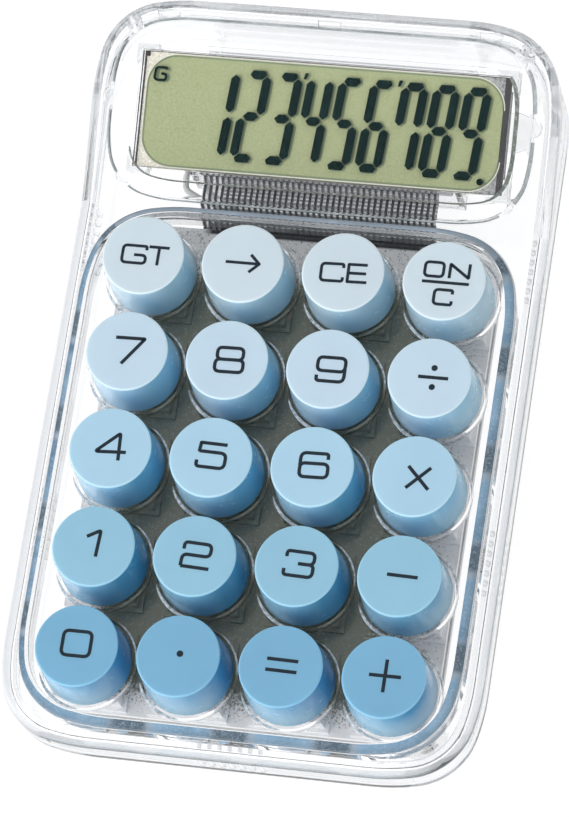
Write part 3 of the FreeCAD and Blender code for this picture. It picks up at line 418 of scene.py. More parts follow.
def band_material():
    """The tones that the clear bead mirrors: how blue, streaked, bright and far across each place is."""
    m = Material("ring_band")
    info = m.add("ShaderNodeAttribute", attribute_name="band")
    parts = m.add("ShaderNodeSeparateColor")
    m.link(info.outputs["Color"], parts.inputs[0])
    blue, streak, bright = (parts.outputs[i] for i in range(3))
    deep = m.blend(bright, linear((0.38, 0.50, 0.60)), linear((0.58, 0.71, 0.81)))
    tone = m.blend(blue, linear((0.38, 0.44, 0.49)), deep)
    drift = m.ramp(m.noise(230.0, 2.0), 0.42, 0.66, 0.0, 0.75)
    tone = m.blend(m.math("MULTIPLY", drift, blue), tone, linear((0.61, 0.73, 0.82)))
    grain = m.ramp(m.noise(3000.0, 5.0, 0.7), 0.50, 0.66, 0.0, 0.6)
    tone = m.blend(grain, tone, linear((0.78, 0.85, 0.90)))
    tone = m.blend(streak, tone, linear((0.68, 0.73, 0.78)))
    edge = m.ramp(info.outputs["Alpha"], 0.35, 1.0, 0.0, 0.45)
    tone = m.blend(edge, tone, linear((0.30, 0.36, 0.41)))
    return m.finish(m.principled(Base_Color=tone, Roughness=m.ramp(grain, 0.0, 0.5, 0.45, 0.3), IOR=1.3))


def painted_edge_material(name, deep, pale):
    """A painted edge line on clear plastic, standing in for the light and shade along its edge, that drifts
    between two tones and sparkles a little.
    """
    m = Material(name)
    drift = m.ramp(m.noise(160.0, 3.0), 0.35, 0.65)
    specks = m.ramp(m.noise(1800.0, 4.0), 0.50, 0.72, 0.0, 0.5)
    tone = m.blend(specks, m.blend(drift, linear(deep), linear(pale)), linear((0.90, 0.92, 0.92)))
    return m.finish(m.principled(Base_Color=tone, Roughness=m.ramp(drift, 0.0, 1.0, 0.35, 0.55), IOR=1.45))


def floor_material():
    """Pale for the rays that show it, dull for the light that it would throw back, and clear from below."""
    m = Material("pale_floor")
    rough = m.ramp(m.noise(30.0), 0.3, 0.7, 0.8, 0.95)
    grey = m.principled(Base_Color=(0.22, 0.22, 0.22, 1.0), Roughness=rough)
    path = m.add("ShaderNodeLightPath").outputs
    through = path["Is Transmission Ray"]
    mirrored = m.math("MULTIPLY", path["Is Glossy Ray"], m.math("SUBTRACT", 1.0, through))
    glow_by_ray = (
        (path["Is Camera Ray"], 0.87), (through, 1.04), (mirrored, 0.8), (path["Is Diffuse Ray"], 0.5),
    )
    strength = 0.0
    for ray, share in glow_by_ray:
        strength = m.math("ADD", m.math("MULTIPLY", ray, share), strength)
    glow = m.add("ShaderNodeEmission")
    glow.inputs["Color"].default_value = white
    m.link(strength, glow.inputs["Strength"])
    both = m.add("ShaderNodeAddShader")
    m.link(grey.outputs[0], both.inputs[0])
    m.link(glow.outputs[0], both.inputs[1])
    from_below = m.add("ShaderNodeNewGeometry").outputs["Backfacing"]
    return m.finish(m.mix(from_below, both, m.add("ShaderNodeBsdfTransparent")))


def paint(node_name, material):
    """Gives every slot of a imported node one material."""
    for slot in nodes[node_name].material_slots:
        slot.material = material


# Mesh tools

def new_piece(name, bm, material, body):
    """A visible piece with outward faces that rides on a body."""
    bmesh.ops.recalc_face_normals(bm, faces=bm.faces)
    mesh = bpy.data.meshes.new(name)
    bm.to_mesh(mesh)
    bm.free()
    piece = bpy.data.objects.new(name, mesh)
    bpy.context.scene.collection.objects.link(piece)
    mesh.materials.append(material)
    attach(piece, body)
    return piece


def add_skin(bm, rings, closed):
    """Faces round and along a run of rings, with a face at each end of an open run."""
    count = len(rings)
    for i in range(count if closed else count - 1):
        one, two = rings[i], rings[(i + 1) % count]
        for k in range(len(one)):
            bm.faces.new((one[k], one[(k + 1) % len(one)], two[(k + 1) % len(one)], two[k]))
    if not closed:
        bm.faces.new(rings[0][::-1])
        bm.faces.new(rings[-1])


def turned_ring(bm, cx, cy, angle, section):
    """The corners of a section, as distances from an upright axis and heights, turned round that axis."""
    c, s = math.cos(angle), math.sin(angle)
    return [bm.verts.new((cx + r * c, cy + r * s, z)) for r, z in section]


def add_plate(bm, outline, low, high, place):
    """A flat closed plate on an outline."""
    bottom = [bm.verts.new(place(x, y, low)) for x, y in outline]
    top = [bm.verts.new(place(x, y, high)) for x, y in outline]
    bm.faces.new(bottom[::-1])
    bm.faces.new(top)
    for i in range(len(outline)):
        j = (i + 1) % len(outline)
        bm.faces.new((bottom[i], bottom[j], top[j], top[i]))


def add_stroke(bm, path, width, low, high, closed, place):
    """A flat bar of even width along a path, with a top, a bottom and side walls."""
    count = len(path)
    rings = []
    for i, here in enumerate(path):
        before = path[i - 1] if (closed or i > 0) else here
        after = path[(i + 1) % count] if (closed or i < count - 1) else here
        onward = (after - here).normalized()
        one = (here - before).normalized() if (here - before).length > 0 else onward
        two = onward if (after - here).length > 0 else one
        along = (one + two).normalized()
        side = Vector((-along.y, along.x))
        spread = width / 2 / max(side.dot(Vector((-one.y, one.x))), 0.5)
        a, b = here + side * spread, here - side * spread
        corners = ((a, low), (b, low), (b, high), (a, high))
        rings.append([bm.verts.new(place(p.x, p.y, level)) for p, level in corners])
    add_skin(bm, rings, closed)


def rounded_path(points, radius, closed):
    """A line as a list of points, with its corners rounded where a radius is given."""
    if radius == 0:
        return [Vector(p) for p in points]
    steps = 6
    count = len(points)
    path = []
    for i, point in enumerate(points):
        here = Vector(point)
        if not closed and i in (0, count - 1):
            path.append(here)
            continue
        before = Vector(points[i - 1]) - here
        after = Vector(points[(i + 1) % count]) - here
        turn = before.angle(after)
        reach = min(radius / math.tan(turn / 2), before.length * 0.5, after.length * 0.5)
        start = here + before.normalized() * reach
        end = here + after.normalized() * reach
        for k in range(steps + 1):
            t = k / steps
            path.append(start * (1 - t) ** 2 + here * 2 * t * (1 - t) + end * t ** 2)
    return path


def circle(cx, cy, radius, steps=32):
    """Points round a circle."""
    turns = [2 * math.pi * k / steps for k in range(steps)]
    return [(cx + radius * math.cos(a), cy + radius * math.sin(a)) for a in turns]


def rectangle(one, two):
    """The corners of a rectangle between two opposite ones."""
    x0, x1 = sorted((one[0], two[0]))
    y0, y1 = sorted((one[1], two[1]))
    return [(x0, y0), (x1, y0), (x1, y1), (x0, y1)]


def rounded_rectangle(half_x, half_y, radius, steps=10):
    """Points round a rectangle with round corners, from the upper end of its right side to the lower."""
    points = []
    for quarter, (sx, sy) in enumerate(((1, 1), (-1, 1), (-1, -1), (1, -1))):
        for k in range(steps + 1):
            a = math.pi / 2 * (quarter + k / steps)
            x = sx * (half_x - radius) + radius * math.cos(a)
            y = sy * (half_y - radius) + radius * math.sin(a)
            points.append((x, y))
    return points


def eased_path(half_x, half_y, small, big, step):
    """Points and outward directions round a rectangle whose corners ease in and out of its sides."""
    ease = math.radians(12.0)
    square = math.pi / 2
    reach = big * (1 - math.cos(ease) + math.sin(ease)) + small * (math.cos(ease) - math.sin(ease))
    spots = []
    for quarter in range(4):
        turn = quarter * square
        along, across = (half_x, half_y) if quarter % 2 == 0 else (half_y, half_x)

        def place(u, v, angle):
            c, s = math.cos(turn), math.sin(turn)
            out = Vector((math.cos(turn + angle), math.sin(turn + angle)))
            return Vector((u * c - v * s, u * s + v * c)), out

        count = int(2 * (across - reach) / step)
        for i in range(count):
            spots.append(place(along, (reach - across) + 2 * (across - reach) * i / count, 0.0))
        one = (along - big, across - reach)
        two = (one[0] + (big - small) * math.cos(ease), one[1] + (big - small) * math.sin(ease))
        three = (along - reach, across - big)
        arcs = ((one, big, 0.0, ease), (two, small, ease, square - ease), (three, big, square - ease, square))
        for (cx, cy), radius, first, last in arcs:
            count = max(int(radius * (last - first) / step), 2)
            for i in range(count):
                a = first + (last - first) * i / count
                spots.append(place(cx + radius * math.cos(a), cy + radius * math.sin(a), a))
    return spots


def cap_middle(key):
    """The middle of a cap, seen from above."""
    low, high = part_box("keycap_" + key)
    return (low.x + high.x) / 2, (low.y + high.y) / 2


# Legends, in millimetres from the middle of a key top

number_width = 0.66
letter_width = 0.58
letters = ("gt", "ce", "on_c", "arrow")
print_sink = 0.01
print_lift = 0.008
stroke_step = 0.003


def line(*points, radius=0.0):
    """An open stroke, with the radius of its corners."""
    return points, radius, False


def loop(*points, radius):
    """A closed stroke, with the radius of its corners."""
    return points, radius, True


glyphs = {
    "0": [loop((-2.65, -2.4), (2.65, -2.4), (2.65, 2.4), (-2.65, 2.4), radius=1.1)],
    "1": [line((-1.75, 0.95), (0.65, 2.45), (0.65, -2.55), radius=0.3)],
    "2": [
        line((-2.55, 1.0), (-2.55, 2.4), (2.55, 2.4), (2.55, 0.0), (-2.6, 0.0), (-2.6, -2.35), radius=1.0),
        line((-2.6, -2.35), (2.75, -2.35)),
    ],
    "3": [
        line((-2.6, 1.2), (-2.6, 2.4), (2.6, 2.4), (2.6, 0.05), (-0.3, 0.05), radius=1.0),
        line((0.9, 0.05), (2.65, 0.05), (2.65, -2.4), (-2.7, -2.4), (-2.7, -1.15), radius=1.0),
    ],
    "4": [
        line((1.65, -2.55), (1.65, 2.35), (-2.85, -1.05), (1.0, -1.05), radius=0.25),
        line((0.9, -1.05), (3.0, -1.05)),
    ],
    "5": [
        line((2.6, 2.35), (-2.35, 2.35), (-2.45, 0.5), radius=0.1),
        line((-2.45, 0.65), (2.65, 0.65), (2.65, -2.4), (-2.65, -2.4), (-2.65, -1.15), radius=1.1),
    ],
    "6": [
        line((2.5, 1.25), (2.5, 2.4), (-2.6, 2.4), (-2.6, -0.2), radius=1.1),
        loop((-2.6, 0.35), (2.65, 0.35), (2.65, -2.4), (-2.6, -2.4), radius=1.0),
    ],
    "7": [line((-2.85, 2.35), (2.7, 2.35), (-1.2, -2.6), radius=0.1)],
    "8": [
        loop((-2.45, 0.05), (2.45, 0.05), (2.45, 2.4), (-2.45, 2.4), radius=0.95),
        loop((-2.65, -2.4), (2.65, -2.4), (2.65, 0.05), (-2.65, 0.05), radius=0.95),
    ],
    "9": [
        loop((-2.6, -0.35), (2.6, -0.35), (2.6, 2.4), (-2.6, 2.4), radius=1.0),
        line((2.6, 0.2), (2.6, -2.4), (-2.55, -2.4), (-2.55, -1.25), radius=1.1),
    ],
    "plus": [line((-2.95, 0.0), (2.95, 0.0)), line((0.0, -2.9), (0.0, 2.9))],
    "minus": [line((-2.85, 0.0), (2.85, 0.0))],
    "multiply": [line((-2.1, -2.1), (2.1, 2.1)), line((-2.1, 2.1), (2.1, -2.1))],
    "divide": [line((-2.8, 0.0), (2.8, 0.0))],
    "equals": [line((-2.9, 1.0), (2.9, 1.0)), line((-2.9, -1.0), (2.9, -1.0))],
    "dot": [],
    "arrow": [line((-3.2, 0.0), (3.1, 0.0)), line((1.4, 1.75), (3.2, 0.0), (1.4, -1.75), radius=0.05)],
    "gt": [
        line(
            (0.2, 1.0), (0.2, 1.8), (-4.3, 1.8), (-4.3, -1.8), (0.2, -1.8), (0.2, -0.1), (-2.1, -0.1),
            radius=0.8,
        ),
        line((0.6, 1.8), (4.5, 1.8)),
        line((2.55, 1.8), (2.55, -1.95)),
    ],
    "ce": [
        line(
            (-0.1, 0.95), (-0.1, 1.75), (-4.25, 1.75), (-4.25, -1.8), (-0.1, -1.8), (-0.1, -0.95),
            radius=0.8,
        ),
        line((4.35, 1.8), (0.85, 1.8), (0.85, -1.8), (4.5, -1.8), radius=0.05),
        line((0.85, 0.0), (4.25, 0.0)),
    ],
    "on_c": [
        loop((-4.15, 0.9), (-0.65, 0.9), (-0.65, 3.6), (-4.15, 3.6), radius=0.8),
        line((0.55, 0.75), (0.55, 3.5), (4.15, 1.0), (4.15, 3.75), radius=0.1),
        line((-4.4, -0.15), (4.4, -0.15)),
        line(
            (1.6, -2.3), (1.6, -1.55), (-1.75, -1.55), (-1.75, -4.35), (1.6, -4.35), (1.6, -3.6),
            radius=0.8,
        ),
    ],
}
dots = {"dot": [(0.0, 0.0, 0.62)], "divide": [(0.0, 1.85, 0.58), (0.0, -1.85, 0.58)]}

# Each legend's place across and along its cap in millimetres, its turn in degrees and its stretch in height
legend_lay = {
    "0": (0.05, 0.40, 0.0, 0.97), "dot": (0.35, 0.45, 0.0, 1.0),
    "equals": (0.25, 0.20, -1.0, 1.03), "plus": (0.20, 0.20, 0.0, 1.06),
    "1": (0.25, 0.65, -3.0, 1.02), "2": (0.40, 0.10, -2.5, 0.97),
    "3": (0.55, 0.40, -2.0, 0.96), "minus": (0.60, 0.05, -1.5, 1.0),
    "4": (0.10, 0.35, 3.0, 1.08), "5": (0.20, 0.35, -1.5, 0.97),
    "6": (0.35, 0.30, 1.5, 0.96), "multiply": (0.80, -0.25, 0.0, 1.0),
    "7": (0.50, 0.10, 1.0, 1.03), "8": (0.60, 0.0, 1.0, 0.98),
    "9": (0.70, -0.10, 0.5, 0.96), "divide": (0.75, 0.10, 0.0, 1.0),
    "gt": (0.40, 0.0, 0.0, 0.95), "arrow": (0.0, 0.10, 0.0, 1.0),
    "ce": (0.20, -0.15, 1.5, 0.95), "on_c": (0.35, -0.25, 0.0, 1.02),
}


def make_legends():
    """The printed sign on each key, a hair above the cap and riding on its key."""
    ink = ink_material()
    for key in keys:
        cx, cy = cap_middle(key)
        dx, dy, turn, tall = legend_lay[key]
        c, s = math.cos(math.radians(turn)), math.sin(math.radians(turn))

        def place(x, y, z):
            px, py = x * c - y * s + dx, x * s + y * c + dy
            return (cx + px * mm, cy + py * mm, cap_top + z * mm)

        bm = bmesh.new()
        width = letter_width if key in letters else number_width
        for i, (points, radius, closed) in enumerate(glyphs[key]):
            path = rounded_path([(x, y * tall) for x, y in points], radius, closed)
            add_stroke(bm, path, width, -print_sink, print_lift + stroke_step * i, closed, place)
        for x, y, radius in dots.get(key, ()):
            add_plate(bm, circle(x, y, radius), -print_sink, print_lift, place)
        new_piece("legend_" + key, bm, ink, "key_" + key)


# Keys and switches

def make_keys():
    """Moulded plastic on the caps, one shade to a row."""
    for slot, colour, depth, row in key_rows:
        plastic = cap_material(slot, colour, depth)
        for key in row:
            paint("keycap_" + key, plastic)


def make_springs():
    """A coil in each switch."""
    steel = metal("spring_steel", (0.78, 0.78, 0.78), (0.60, 0.60, 0.60), 0.3, 1500.0, 0.2)
    low, high = (corner.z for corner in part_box("switch_springs"))
    wire = spring_wire / 2
    coil = spring_radius - wire
    turns, steps, sides = 8, 14, 6
    around = [2 * math.pi * j / sides for j in range(sides)]
    for key in keys:
        cx, cy = cap_middle(key)
        bm = bmesh.new()
        rings = []
        for k in range(turns * steps + 1):
            z = low + wire + (high - low - 2 * wire) * k / (turns * steps)
            section = [(coil + wire * math.cos(b), z + wire * math.sin(b)) for b in around]
            rings.append(turned_ring(bm, cx, cy, 2 * math.pi * k / steps, section))
        add_skin(bm, rings, False)
        piece = new_piece("spring_" + key, bm, steel, "case")
        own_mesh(piece)
        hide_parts("switch_springs")


# Arcs in each collar: first and last direction in degrees, and greatest width
glint_arcs = ((-160.0, -92.0, 0.6 * mm), (2.0, 58.0, 0.4 * mm))
glint_top, glint_side, glint_bottom = (collar_top - drop * mm for drop in (0.07, 0.12, 0.18))
glint_end = 0.03 * mm


def make_collar_glints():
    """Bright arcs inside the clear collars, where their rounded rims catch the light."""
    glint = glint_material()
    bm = bmesh.new()
    steps = 14
    for key in keys:
        cx, cy = cap_middle(key)
        for first, last, wide in glint_arcs:
            rings = []
            for k in range(steps + 1):
                t = k / steps
                half = max(wide / 2 * math.sin(math.pi * t) ** 0.5, glint_end)
                section = (
                    (collar_radius - half, glint_side), (collar_radius, glint_top),
                    (collar_radius + half, glint_side), (collar_radius, glint_bottom),
                )
                rings.append(turned_ring(bm, cx, cy, math.radians(first + (last - first) * t), section))
            add_skin(bm, rings, False)
    new_piece("collar_glints", bm, glint, "case")


# The band in the clear bead round the keys, in millimetres

key_pitch = 19.05
well_middle = -18.052
well_half = (39.605, 48.9)
well_radii = (11.5, 36.0)
band_step = 0.4

# One streak on the sides that run along x, and one on those along y; they repeat at the key pitch
streak_x = -14.4
streak_y = -33.5

# Corners of the band's section: how far across the band, as a share of its width, and how high
band_section = ((0.0, 19.82), (0.3, 19.82), (0.7, 19.82), (1.0, 19.7), (1.0, 19.6), (0.0, 19.6))


def smooth(low, high, value):
    """A share from 0 to 1 that eases in and out between two values."""
    t = min(max((value - low) / (high - low), 0.0), 1.0)
    return t * t * (3 - 2 * t)


def mirrored_key(phase, rising):
    """How blue, streaked and bright the band is at a place between two streaks, from 0 to 1."""
    streak = 1.0 - smooth(0.0, 0.07, min(phase, 1.0 - phase))
    blue = smooth(0.28, 0.36, phase) if rising else 1.0 - smooth(0.56, 0.64, phase)
    second = 1.0 - smooth(0.0, 0.05, abs(phase - (0.33 if rising else 0.61)))
    bright = phase if rising else 1.0 - phase
    return blue, max(streak, second * 0.45), bright


def band_tone(spot, out):
    """How blue, streaked and bright the band is at a place of its ring."""
    if abs(out.y) > abs(out.x):
        blue, streak, bright = mirrored_key(((spot.x - streak_x) / key_pitch) % 1.0, False)
        if out.y > 0:
            blue, streak, bright = 0.0, 0.8 + 0.2 * streak, 0.8
    else:
        blue, streak, bright = mirrored_key(((spot.y + well_middle - streak_y) / key_pitch) % 1.0, True)
        if out.x < 0:
            bright = 1.0 - bright
    if out.y < 0:
        corner = smooth(0.25, 0.6, min(abs(out.x), abs(out.y)))
        blue += (1 - blue) * corner
        streak *= 1 - corner
        bright += (0.5 - bright) * corner
    return blue, streak, bright


def band_edges(out):
    """How far outside the well's outline the band begins and ends, where it faces a direction."""
    right = max(out.x, 0.0) ** 2
    back = max(out.y, 0.0) ** 2
    near = right + max(-out.y, 0.0) ** 2
    inner = 0.92 + (0.28 - 0.92) * near - 0.27 * right + 0.25 * back
    outer = 1.85 + (2.02 - 1.85) * max(near, out.y ** 2) - 0.27 * right
    return inner, outer


def make_ring_band():
    """A thin band inside the clear bead, in the tones of the keys and the plate that it mirrors."""
    bm = bmesh.new()
    layer = bm.verts.layers.float_color.new("band")
    rings = []
    for spot, out in eased_path(*well_half, *well_radii, band_step):
        inner, outer = band_edges(out)
        tone = band_tone(spot, out)
        ring = []
        for t, height in band_section:
            p = spot + out * (inner + (outer - inner) * t)
            vert = bm.verts.new((p.x * mm, (p.y + well_middle) * mm, height * mm))
            vert[layer] = (*tone, t)
            ring.append(vert)
        rings.append(ring)
    add_skin(bm, rings, True)
    new_piece("ring_band", bm, band_material(), "case")


# Display, in its own millimetres from its middle: across, up its slope and out of its face

digit_pitch = 6.03
last_digit_x = 29.2
digit_slant = math.tan(math.radians(6.0))
stem_x = 1.75
bar_y = 7.95
half_bar = 0.83
upright_length = 7.3
lit = {
    "1": "bc", "2": "abged", "3": "abgcd", "4": "fgbc", "5": "afgcd",
    "6": "afgecd", "7": "fabc", "8": "abcdefg", "9": "abcdfg",
}
thousands_marks = (-4.0, 14.1)
tick = [(-0.35, 7.8), (0.15, 7.8), (0.6, 9.0), (-0.1, 9.0)]
decimal_point = (31.0, -8.85, 0.65)
total_letter = [
    (-30.75, 7.6), (-30.9, 8.0), (-32.9, 8.0), (-33.2, 5.6), (-30.9, 5.6), (-30.9, 6.8), (-31.9, 6.8),
]
total_letter_radius = 0.7
total_letter_width = 0.5
readout_shadow_shift = (0.35, -0.1)
field_half = (34.4, 10.65)
field_radius = 5.8
field_shift = -0.2
border_growth, border_width = 0.1, 0.19
field_shadow_growth, field_shadow_width = -0.2, 0.36

# Levels of the display's layers, from the underside of its front glass
back_top = -0.75
field_levels = (-0.74, -0.70)
border_levels = (-0.74, -0.62)
field_shadow_levels = (-0.74, -0.695)
shadow_level = -0.69
side_bar_levels = (-0.74, -0.66)
corner_levels = (-0.65, -0.6)
long_line_levels = (-0.58, -0.54)
segment_level = -0.06
print_thickness = 0.02


def display_place():
    """A function from the display's own millimetres to the frame."""
    low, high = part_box("lcd_panel")
    middle = (low + high) / 2
    turn = Matrix.Rotation(display_tilt, 3, "X")
    return lambda x, y, z: middle + turn @ Vector((x * mm, y * mm, z * mm))


def segment_outlines():
    """The seven bars of a digit round its own middle."""
    tip, outer, inner = 1.62, 1.2, 0.78
    top = [
        (-tip, bar_y), (-outer, bar_y + half_bar), (outer, bar_y + half_bar),
        (tip, bar_y), (inner, bar_y - half_bar), (-inner, bar_y - half_bar),
    ]
    tip, shoulder = 1.45, 0.7
    middle = [
        (-tip, 0.0), (-shoulder, half_bar), (shoulder, half_bar),
        (tip, 0.0), (shoulder, -half_bar), (-shoulder, -half_bar),
    ]
    foot, slope = 0.42, 0.75
    head = foot + upright_length
    upright = [
        (0.0, foot), (half_bar, foot + slope), (half_bar, head - slope),
        (0.0, head), (-half_bar, head - slope), (-half_bar, foot + slope),
    ]
    return {
        "a": top,
        "b": [(x + stem_x, y) for x, y in upright],
        "c": [(x + stem_x, -y) for x, y in upright][::-1],
        "d": [(x, -y) for x, y in top][::-1],
        "e": [(x - stem_x, -y) for x, y in upright][::-1],
        "f": [(x - stem_x, y) for x, y in upright],
        "g": middle,
    }


def field_outline(growth):
    """The outline of the display's field, grown by so much on every side."""
    half_x, half_y = field_half
    points = rounded_rectangle(half_x + growth, half_y + growth, field_radius + growth)
    return [Vector((x + field_shift, y)) for x, y in points]


def make_readout(name, material, level, dx, dy, place):
    """The lit digits, marks and letter, as one piece at a level."""
    shapes = segment_outlines()
    high = level + print_thickness
    bm = bmesh.new()
    for index, digit in enumerate("123456789"):
        cx = last_digit_x - digit_pitch * (8 - index) - digit_slant * bar_y + dx
        for part in lit[digit]:
            outline = [(cx + x + y * digit_slant, y + dy) for x, y in shapes[part]]
            add_plate(bm, outline, level, high, place)
    for mark in thousands_marks:
        add_plate(bm, [(mark + x + dx, y + dy) for x, y in tick], level, high, place)
    x, y, radius = decimal_point
    add_plate(bm, circle(x + dx, y + dy, radius, 16), level, high, place)
    letter = rounded_path([(x + dx, y + dy) for x, y in total_letter], total_letter_radius, False)
    add_stroke(bm, letter, total_letter_width, level, high, False, place)
    new_piece(name, bm, material, "case")


def make_edge_marks(under, half_x, half_y, place):
    """The dark bars at the display's ends, the wider right one a painted shade from the window's edge, the
    squares in its upper corners and the lines along it.
    """
    dark = moulded_plastic("lcd_edge", (0.16, 0.15, 0.16), (0.30, 0.29, 0.30), 0.4, 2500.0)
    margin = 0.1
    inset = 0.05
    square = 1.0
    # The wider right bar is painted shade
    left_bar, right_shade_bar = 0.4, 1.5
    line_end, line_edge = half_x - 0.5, half_y - 0.2
    bm = bmesh.new()

    def add(one, two, levels):
        add_plate(bm, rectangle(one, two), under + levels[0], under + levels[1], place)

    for side, bar in ((-1, left_bar), (1, right_shade_bar)):
        end = side * (half_x - inset)
        corner = (side * (half_x - inset - square), half_y - margin - square)
        add((end, margin - half_y), (side * (half_x - bar), half_y - margin), side_bar_levels)
        add((end, half_y - margin), corner, corner_levels)
        add((-line_end, side * (half_y - inset)), (line_end, side * line_edge), long_line_levels)
    new_piece("lcd_edge_marks", bm, dark, "case")


def make_display():
    """The layers of the display, its rounded field, and the lit segments between the glasses."""
    place = display_place()
    half_x, half_y = lcd_width / mm / 2, lcd_height / mm / 2
    top = (2 * lcd_glass + lcd_seal + lcd_reflector) / mm / 2
    under = top - lcd_glass / mm
    inset = 0.05
    clear = clear_plastic("lcd_glass", (0.90, 0.94, 0.90), 4.0, 0.0, 0.0, (0.9, 0.92, 0.9), 1.15)
    segment = moulded_plastic("lcd_segment", (0.02, 0.13, 0.125), (0.05, 0.16, 0.15), 0.7, 3000.0, 0.05)
    rim = moulded_plastic("lcd_rim", (0.98, 0.97, 0.91), (0.92, 0.91, 0.85), 0.35, 3000.0)
    shade = moulded_plastic("lcd_shade", (0.50, 0.55, 0.43), (0.55, 0.60, 0.47), 0.6, 3000.0)

    bm = bmesh.new()
    add_plate(bm, rectangle((-half_x, -half_y), (half_x, half_y)), under, top, place)
    front = new_piece("lcd_front_glass", bm, clear, "case")
    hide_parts("lcd_panel")

    bm = bmesh.new()
    outline = rectangle((inset - half_x, inset - half_y), (half_x - inset, half_y - inset))
    add_plate(bm, outline, -top, under + back_top, place)
    new_piece("lcd_back_layer", bm, lcd_back_material(), "case")

    bm = bmesh.new()
    low, high = field_levels
    add_plate(bm, field_outline(0.0), under + low, under + high, place)
    new_piece("lcd_field", bm, lcd_field_material(), "case")

    # The border and the shadow inside it are open along the right side
    bm = bmesh.new()
    low, high = border_levels
    add_stroke(bm, field_outline(border_growth), border_width, under + low, under + high, False, place)
    new_piece("lcd_border", bm, rim, "case")

    make_readout("lcd_segments", segment, under + segment_level, 0.0, 0.0, place)
    make_readout("lcd_shadows", shade, under + shadow_level, *readout_shadow_shift, place)

    bm = bmesh.new()
    low, high = field_shadow_levels
    outline = field_outline(field_shadow_growth)
    add_stroke(bm, outline, field_shadow_width, under + low, under + high, False, place)
    new_piece("lcd_field_shadow", bm, shade, "case")
    make_edge_marks(under, half_x, half_y, place)


# How far the window's middle lies up the slope from the display's, in millimetres
lens_shift = 0.15


def near_tab(x, y):
    """Whether a place of the window's edge is at one of the round tabs at its sides and corners."""
    side_tab = abs(x) > 38.0 and abs(y - 1.65) < 2.3
    corner_tab = abs(abs(x) - 37.4) < 1.5 and abs(abs(y) - 14.3) < 1.6
    return side_tab or corner_tab


def make_lens_line(name, material, outline, levels, width, right_width, kept):
    """A thin line round the window, wider on its right, along the places that are kept."""
    place = display_place()
    spots = eased_path(*outline, 0.5)
    lip = 0.03
    rise = 0.02
    bm = bmesh.new()
    rings = []
    for spot, out in spots:
        wide = width + (right_width - width) * max(out.x, 0.0) ** 2
        ring = []
        for across, level in ((0.0, levels[0]), (lip, levels[1]), (wide, levels[1] + rise)):
            p = spot + out * across
            ring.append(bm.verts.new(place(p.x, p.y + lens_shift, level)))
        rings.append(ring)
    flags = [kept(spot.x, spot.y + lens_shift) for spot, out in spots]
    first = flags.index(False)
    run = []
    for i in range(first, first + len(rings) + 1):
        if flags[i % len(rings)]:
            run.append(rings[i % len(rings)])
            continue
        if len(run) > 1:
            add_skin(bm, run, False)
        run = []
    bmesh.ops.delete(bm, geom=[v for v in bm.verts if not v.link_faces], context="VERTS")
    new_piece(name, bm, material, "case")


def make_lens_lines():
    """Painted lines of light and shade where the window's edge and the step under it catch the light."""
    make_lens_line(
        "lens_outer_line", painted_edge_material("painted_edge_line", (0.52, 0.55, 0.55), (0.70, 0.72, 0.73)),
        outline=(40.4, 17.1, 9.7, 30.2), levels=(1.7, 2.8), width=0.34, right_width=0.62,
        kept=lambda x, y: not near_tab(x, y),
    )
    make_lens_line(
        "lens_inner_line", painted_edge_material("olive_edge", (0.36, 0.39, 0.36), (0.50, 0.52, 0.49)),
        outline=(36.6, 13.4, 6.0, 26.0), levels=(1.6, 1.75), width=0.32, right_width=0.85,
        kept=lambda x, y: y < -7.5 or (x > 0.0 and y < 10.8),
    )


# Camera, lamps and stage

def make_camera():
    data = bpy.data.cameras.new("camera")
    data.lens = camera_lens
    data.sensor_width = 36.0
    data.clip_start = 0.01
    data.clip_end = 50.0
    camera = bpy.data.objects.new("camera", data)
    camera.location = camera_place
    camera.rotation_euler = [math.radians(a) for a in camera_turn]
    bpy.context.scene.collection.objects.link(camera)
    bpy.context.scene.camera = camera


def make_lamp(name, place, size, power):
    """A square soft lamp that faces the object."""
    data = bpy.data.lights.new(name, "AREA")
    data.size = size
    data.energy = power
    lamp = bpy.data.objects.new(name, data)
    lamp.location = place
    lamp.rotation_euler = (-Vector(place)).to_track_quat("-Z", "Y").to_euler()
    bpy.context.scene.collection.objects.link(lamp)


def make_world():
    """Soft even light, white for the camera, and a darker ceiling for what a gloss mirrors."""
    world = bpy.data.worlds.new("studio")
    world.use_nodes = True
    sky = Nodes(world.node_tree)
    height = sky.split(sky.add("ShaderNodeTexCoord").outputs["Generated"])[2]
    path = sky.add("ShaderNodeLightPath").outputs

    def background(strength, colour=white):
        node = sky.add("ShaderNodeBackground")
        node.inputs["Color"].default_value = colour
        node.inputs["Strength"].default_value = strength
        return node

    def graded(low, high, below, above):
        """A background whose strength changes with height."""
        node = background(1.0)
        sky.link(sky.ramp(height, low, high, below, above), node.inputs["Strength"])
        return node

    even = background(0.545, (0.98, 0.99, 1.0, 1.0))
    shown = sky.mix(path["Is Glossy Ray"], even, graded(0.45, 0.9, 1.0, 0.12))
    shown = sky.mix(path["Is Transmission Ray"], shown, graded(0.35, 0.85, 0.95, 0.85))
    shown = sky.mix(path["Is Camera Ray"], shown, background(1.0))
    sky.link(shown.outputs[0], sky.add("ShaderNodeOutputWorld").inputs["Surface"])
    bpy.context.scene.world = world


def make_floor():
    """A pale floor that keeps the object's shadow and doesn't show from below."""
    half = 2.0
    corners = [(x, y, 0) for x, y in rectangle((-half, -half), (half, half))]
    mesh = bpy.data.meshes.new("floor")
    mesh.from_pydata(corners, [], [(0, 1, 2, 3)])
    mesh.materials.append(floor_material())
    floor = bpy.data.objects.new("floor", mesh)
    bpy.context.scene.collection.objects.link(floor)


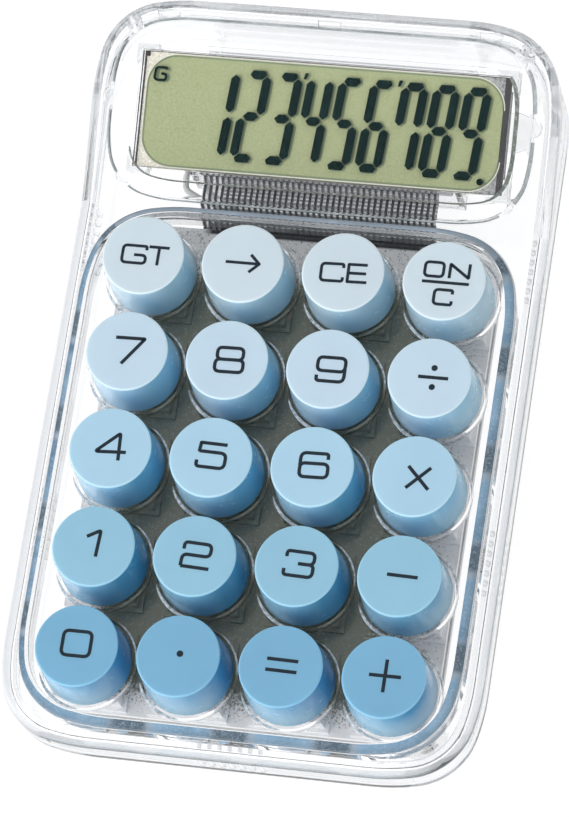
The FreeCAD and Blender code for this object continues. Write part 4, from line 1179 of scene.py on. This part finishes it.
def dress_nodes():
    """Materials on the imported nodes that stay."""
    clear = clear_plastic("clear_case", (0.88, 0.89, 0.90), 85.0, 0.0, 0.02, (0.90, 0.905, 0.915), 1.40)
    for name in ("top_cover", "bottom_cover", "battery_door", "lcd_holder"):
        paint(name, clear)
    lens = clear_plastic("clear_lens", (0.88, 0.89, 0.90), 60.0, 0.0, 0.01, (0.78, 0.80, 0.82), 1.15)
    paint("display_window", lens)
    paint("rubber_feet", clear_plastic("soft_foot", (0.90, 0.91, 0.92), 60.0, 0.25, 0.05, (0.86, 0.88, 0.90)))
    plate = plate_material()
    paint("switch_plate", plate)
    paint("switch_tops", plate)
    paint("lcd_ribbon", ribbon_material())
    paint("keypad_board", board_material())

    # Name, tone, deeper tone, roughness and grain
    plastics = {
        "controller_chip": ("black_resin", (0.06, 0.06, 0.06), (0.09, 0.09, 0.09), 0.35, 900.0),
        "board_components": ("part_body", (0.20, 0.19, 0.17), (0.28, 0.26, 0.22), 0.45, 3000.0),
        "switch_bases": ("switch_black", (0.10, 0.10, 0.11), (0.14, 0.14, 0.15), 0.5, 3000.0),
        "batteries": ("cell_wrap", (0.62, 0.64, 0.66), (0.55, 0.57, 0.59), 0.35, 1200.0),
        "battery_leads": ("lead_skin", (0.97, 0.97, 0.97), (0.92, 0.93, 0.93), 0.5, 2000.0),
    }
    for node_name, values in plastics.items():
        paint(node_name, moulded_plastic(*values))

    # Name, tone, darker tone, roughness, specks and their depth
    metals = {
        "switch_contacts": ("gilt_contact", (0.85, 0.68, 0.40), (0.70, 0.55, 0.32), 0.3, 1500.0, 0.2),
        "battery_contacts": ("nickel", (0.80, 0.79, 0.76), (0.62, 0.61, 0.58), 0.28, 1800.0, 0.2),
        "board_fasteners": ("screw_zinc", (0.78, 0.78, 0.79), (0.58, 0.58, 0.60), 0.3, 1800.0, 0.2),
    }
    for node_name, values in metals.items():
        paint(node_name, metal(*values))

    stem = moulded_plastic("plunger_blue", (0.45, 0.62, 0.78), (0.40, 0.57, 0.73), 0.4, 3000.0)
    for key in keys:
        paint("plunger_" + key, stem)


dress_nodes()
make_keys()
make_legends()
make_springs()
make_collar_glints()
make_ring_band()
make_display()
make_lens_lines()
make_camera()
make_world()
make_floor()
make_lamp("key_lamp", place=(-0.55, -0.75, 0.65), size=1.3, power=10.8)
make_lamp("back_lamp", place=(0.5, 0.6, 0.9), size=0.8, power=2.0)
bpy.context.scene.view_settings.view_transform = "Standard"
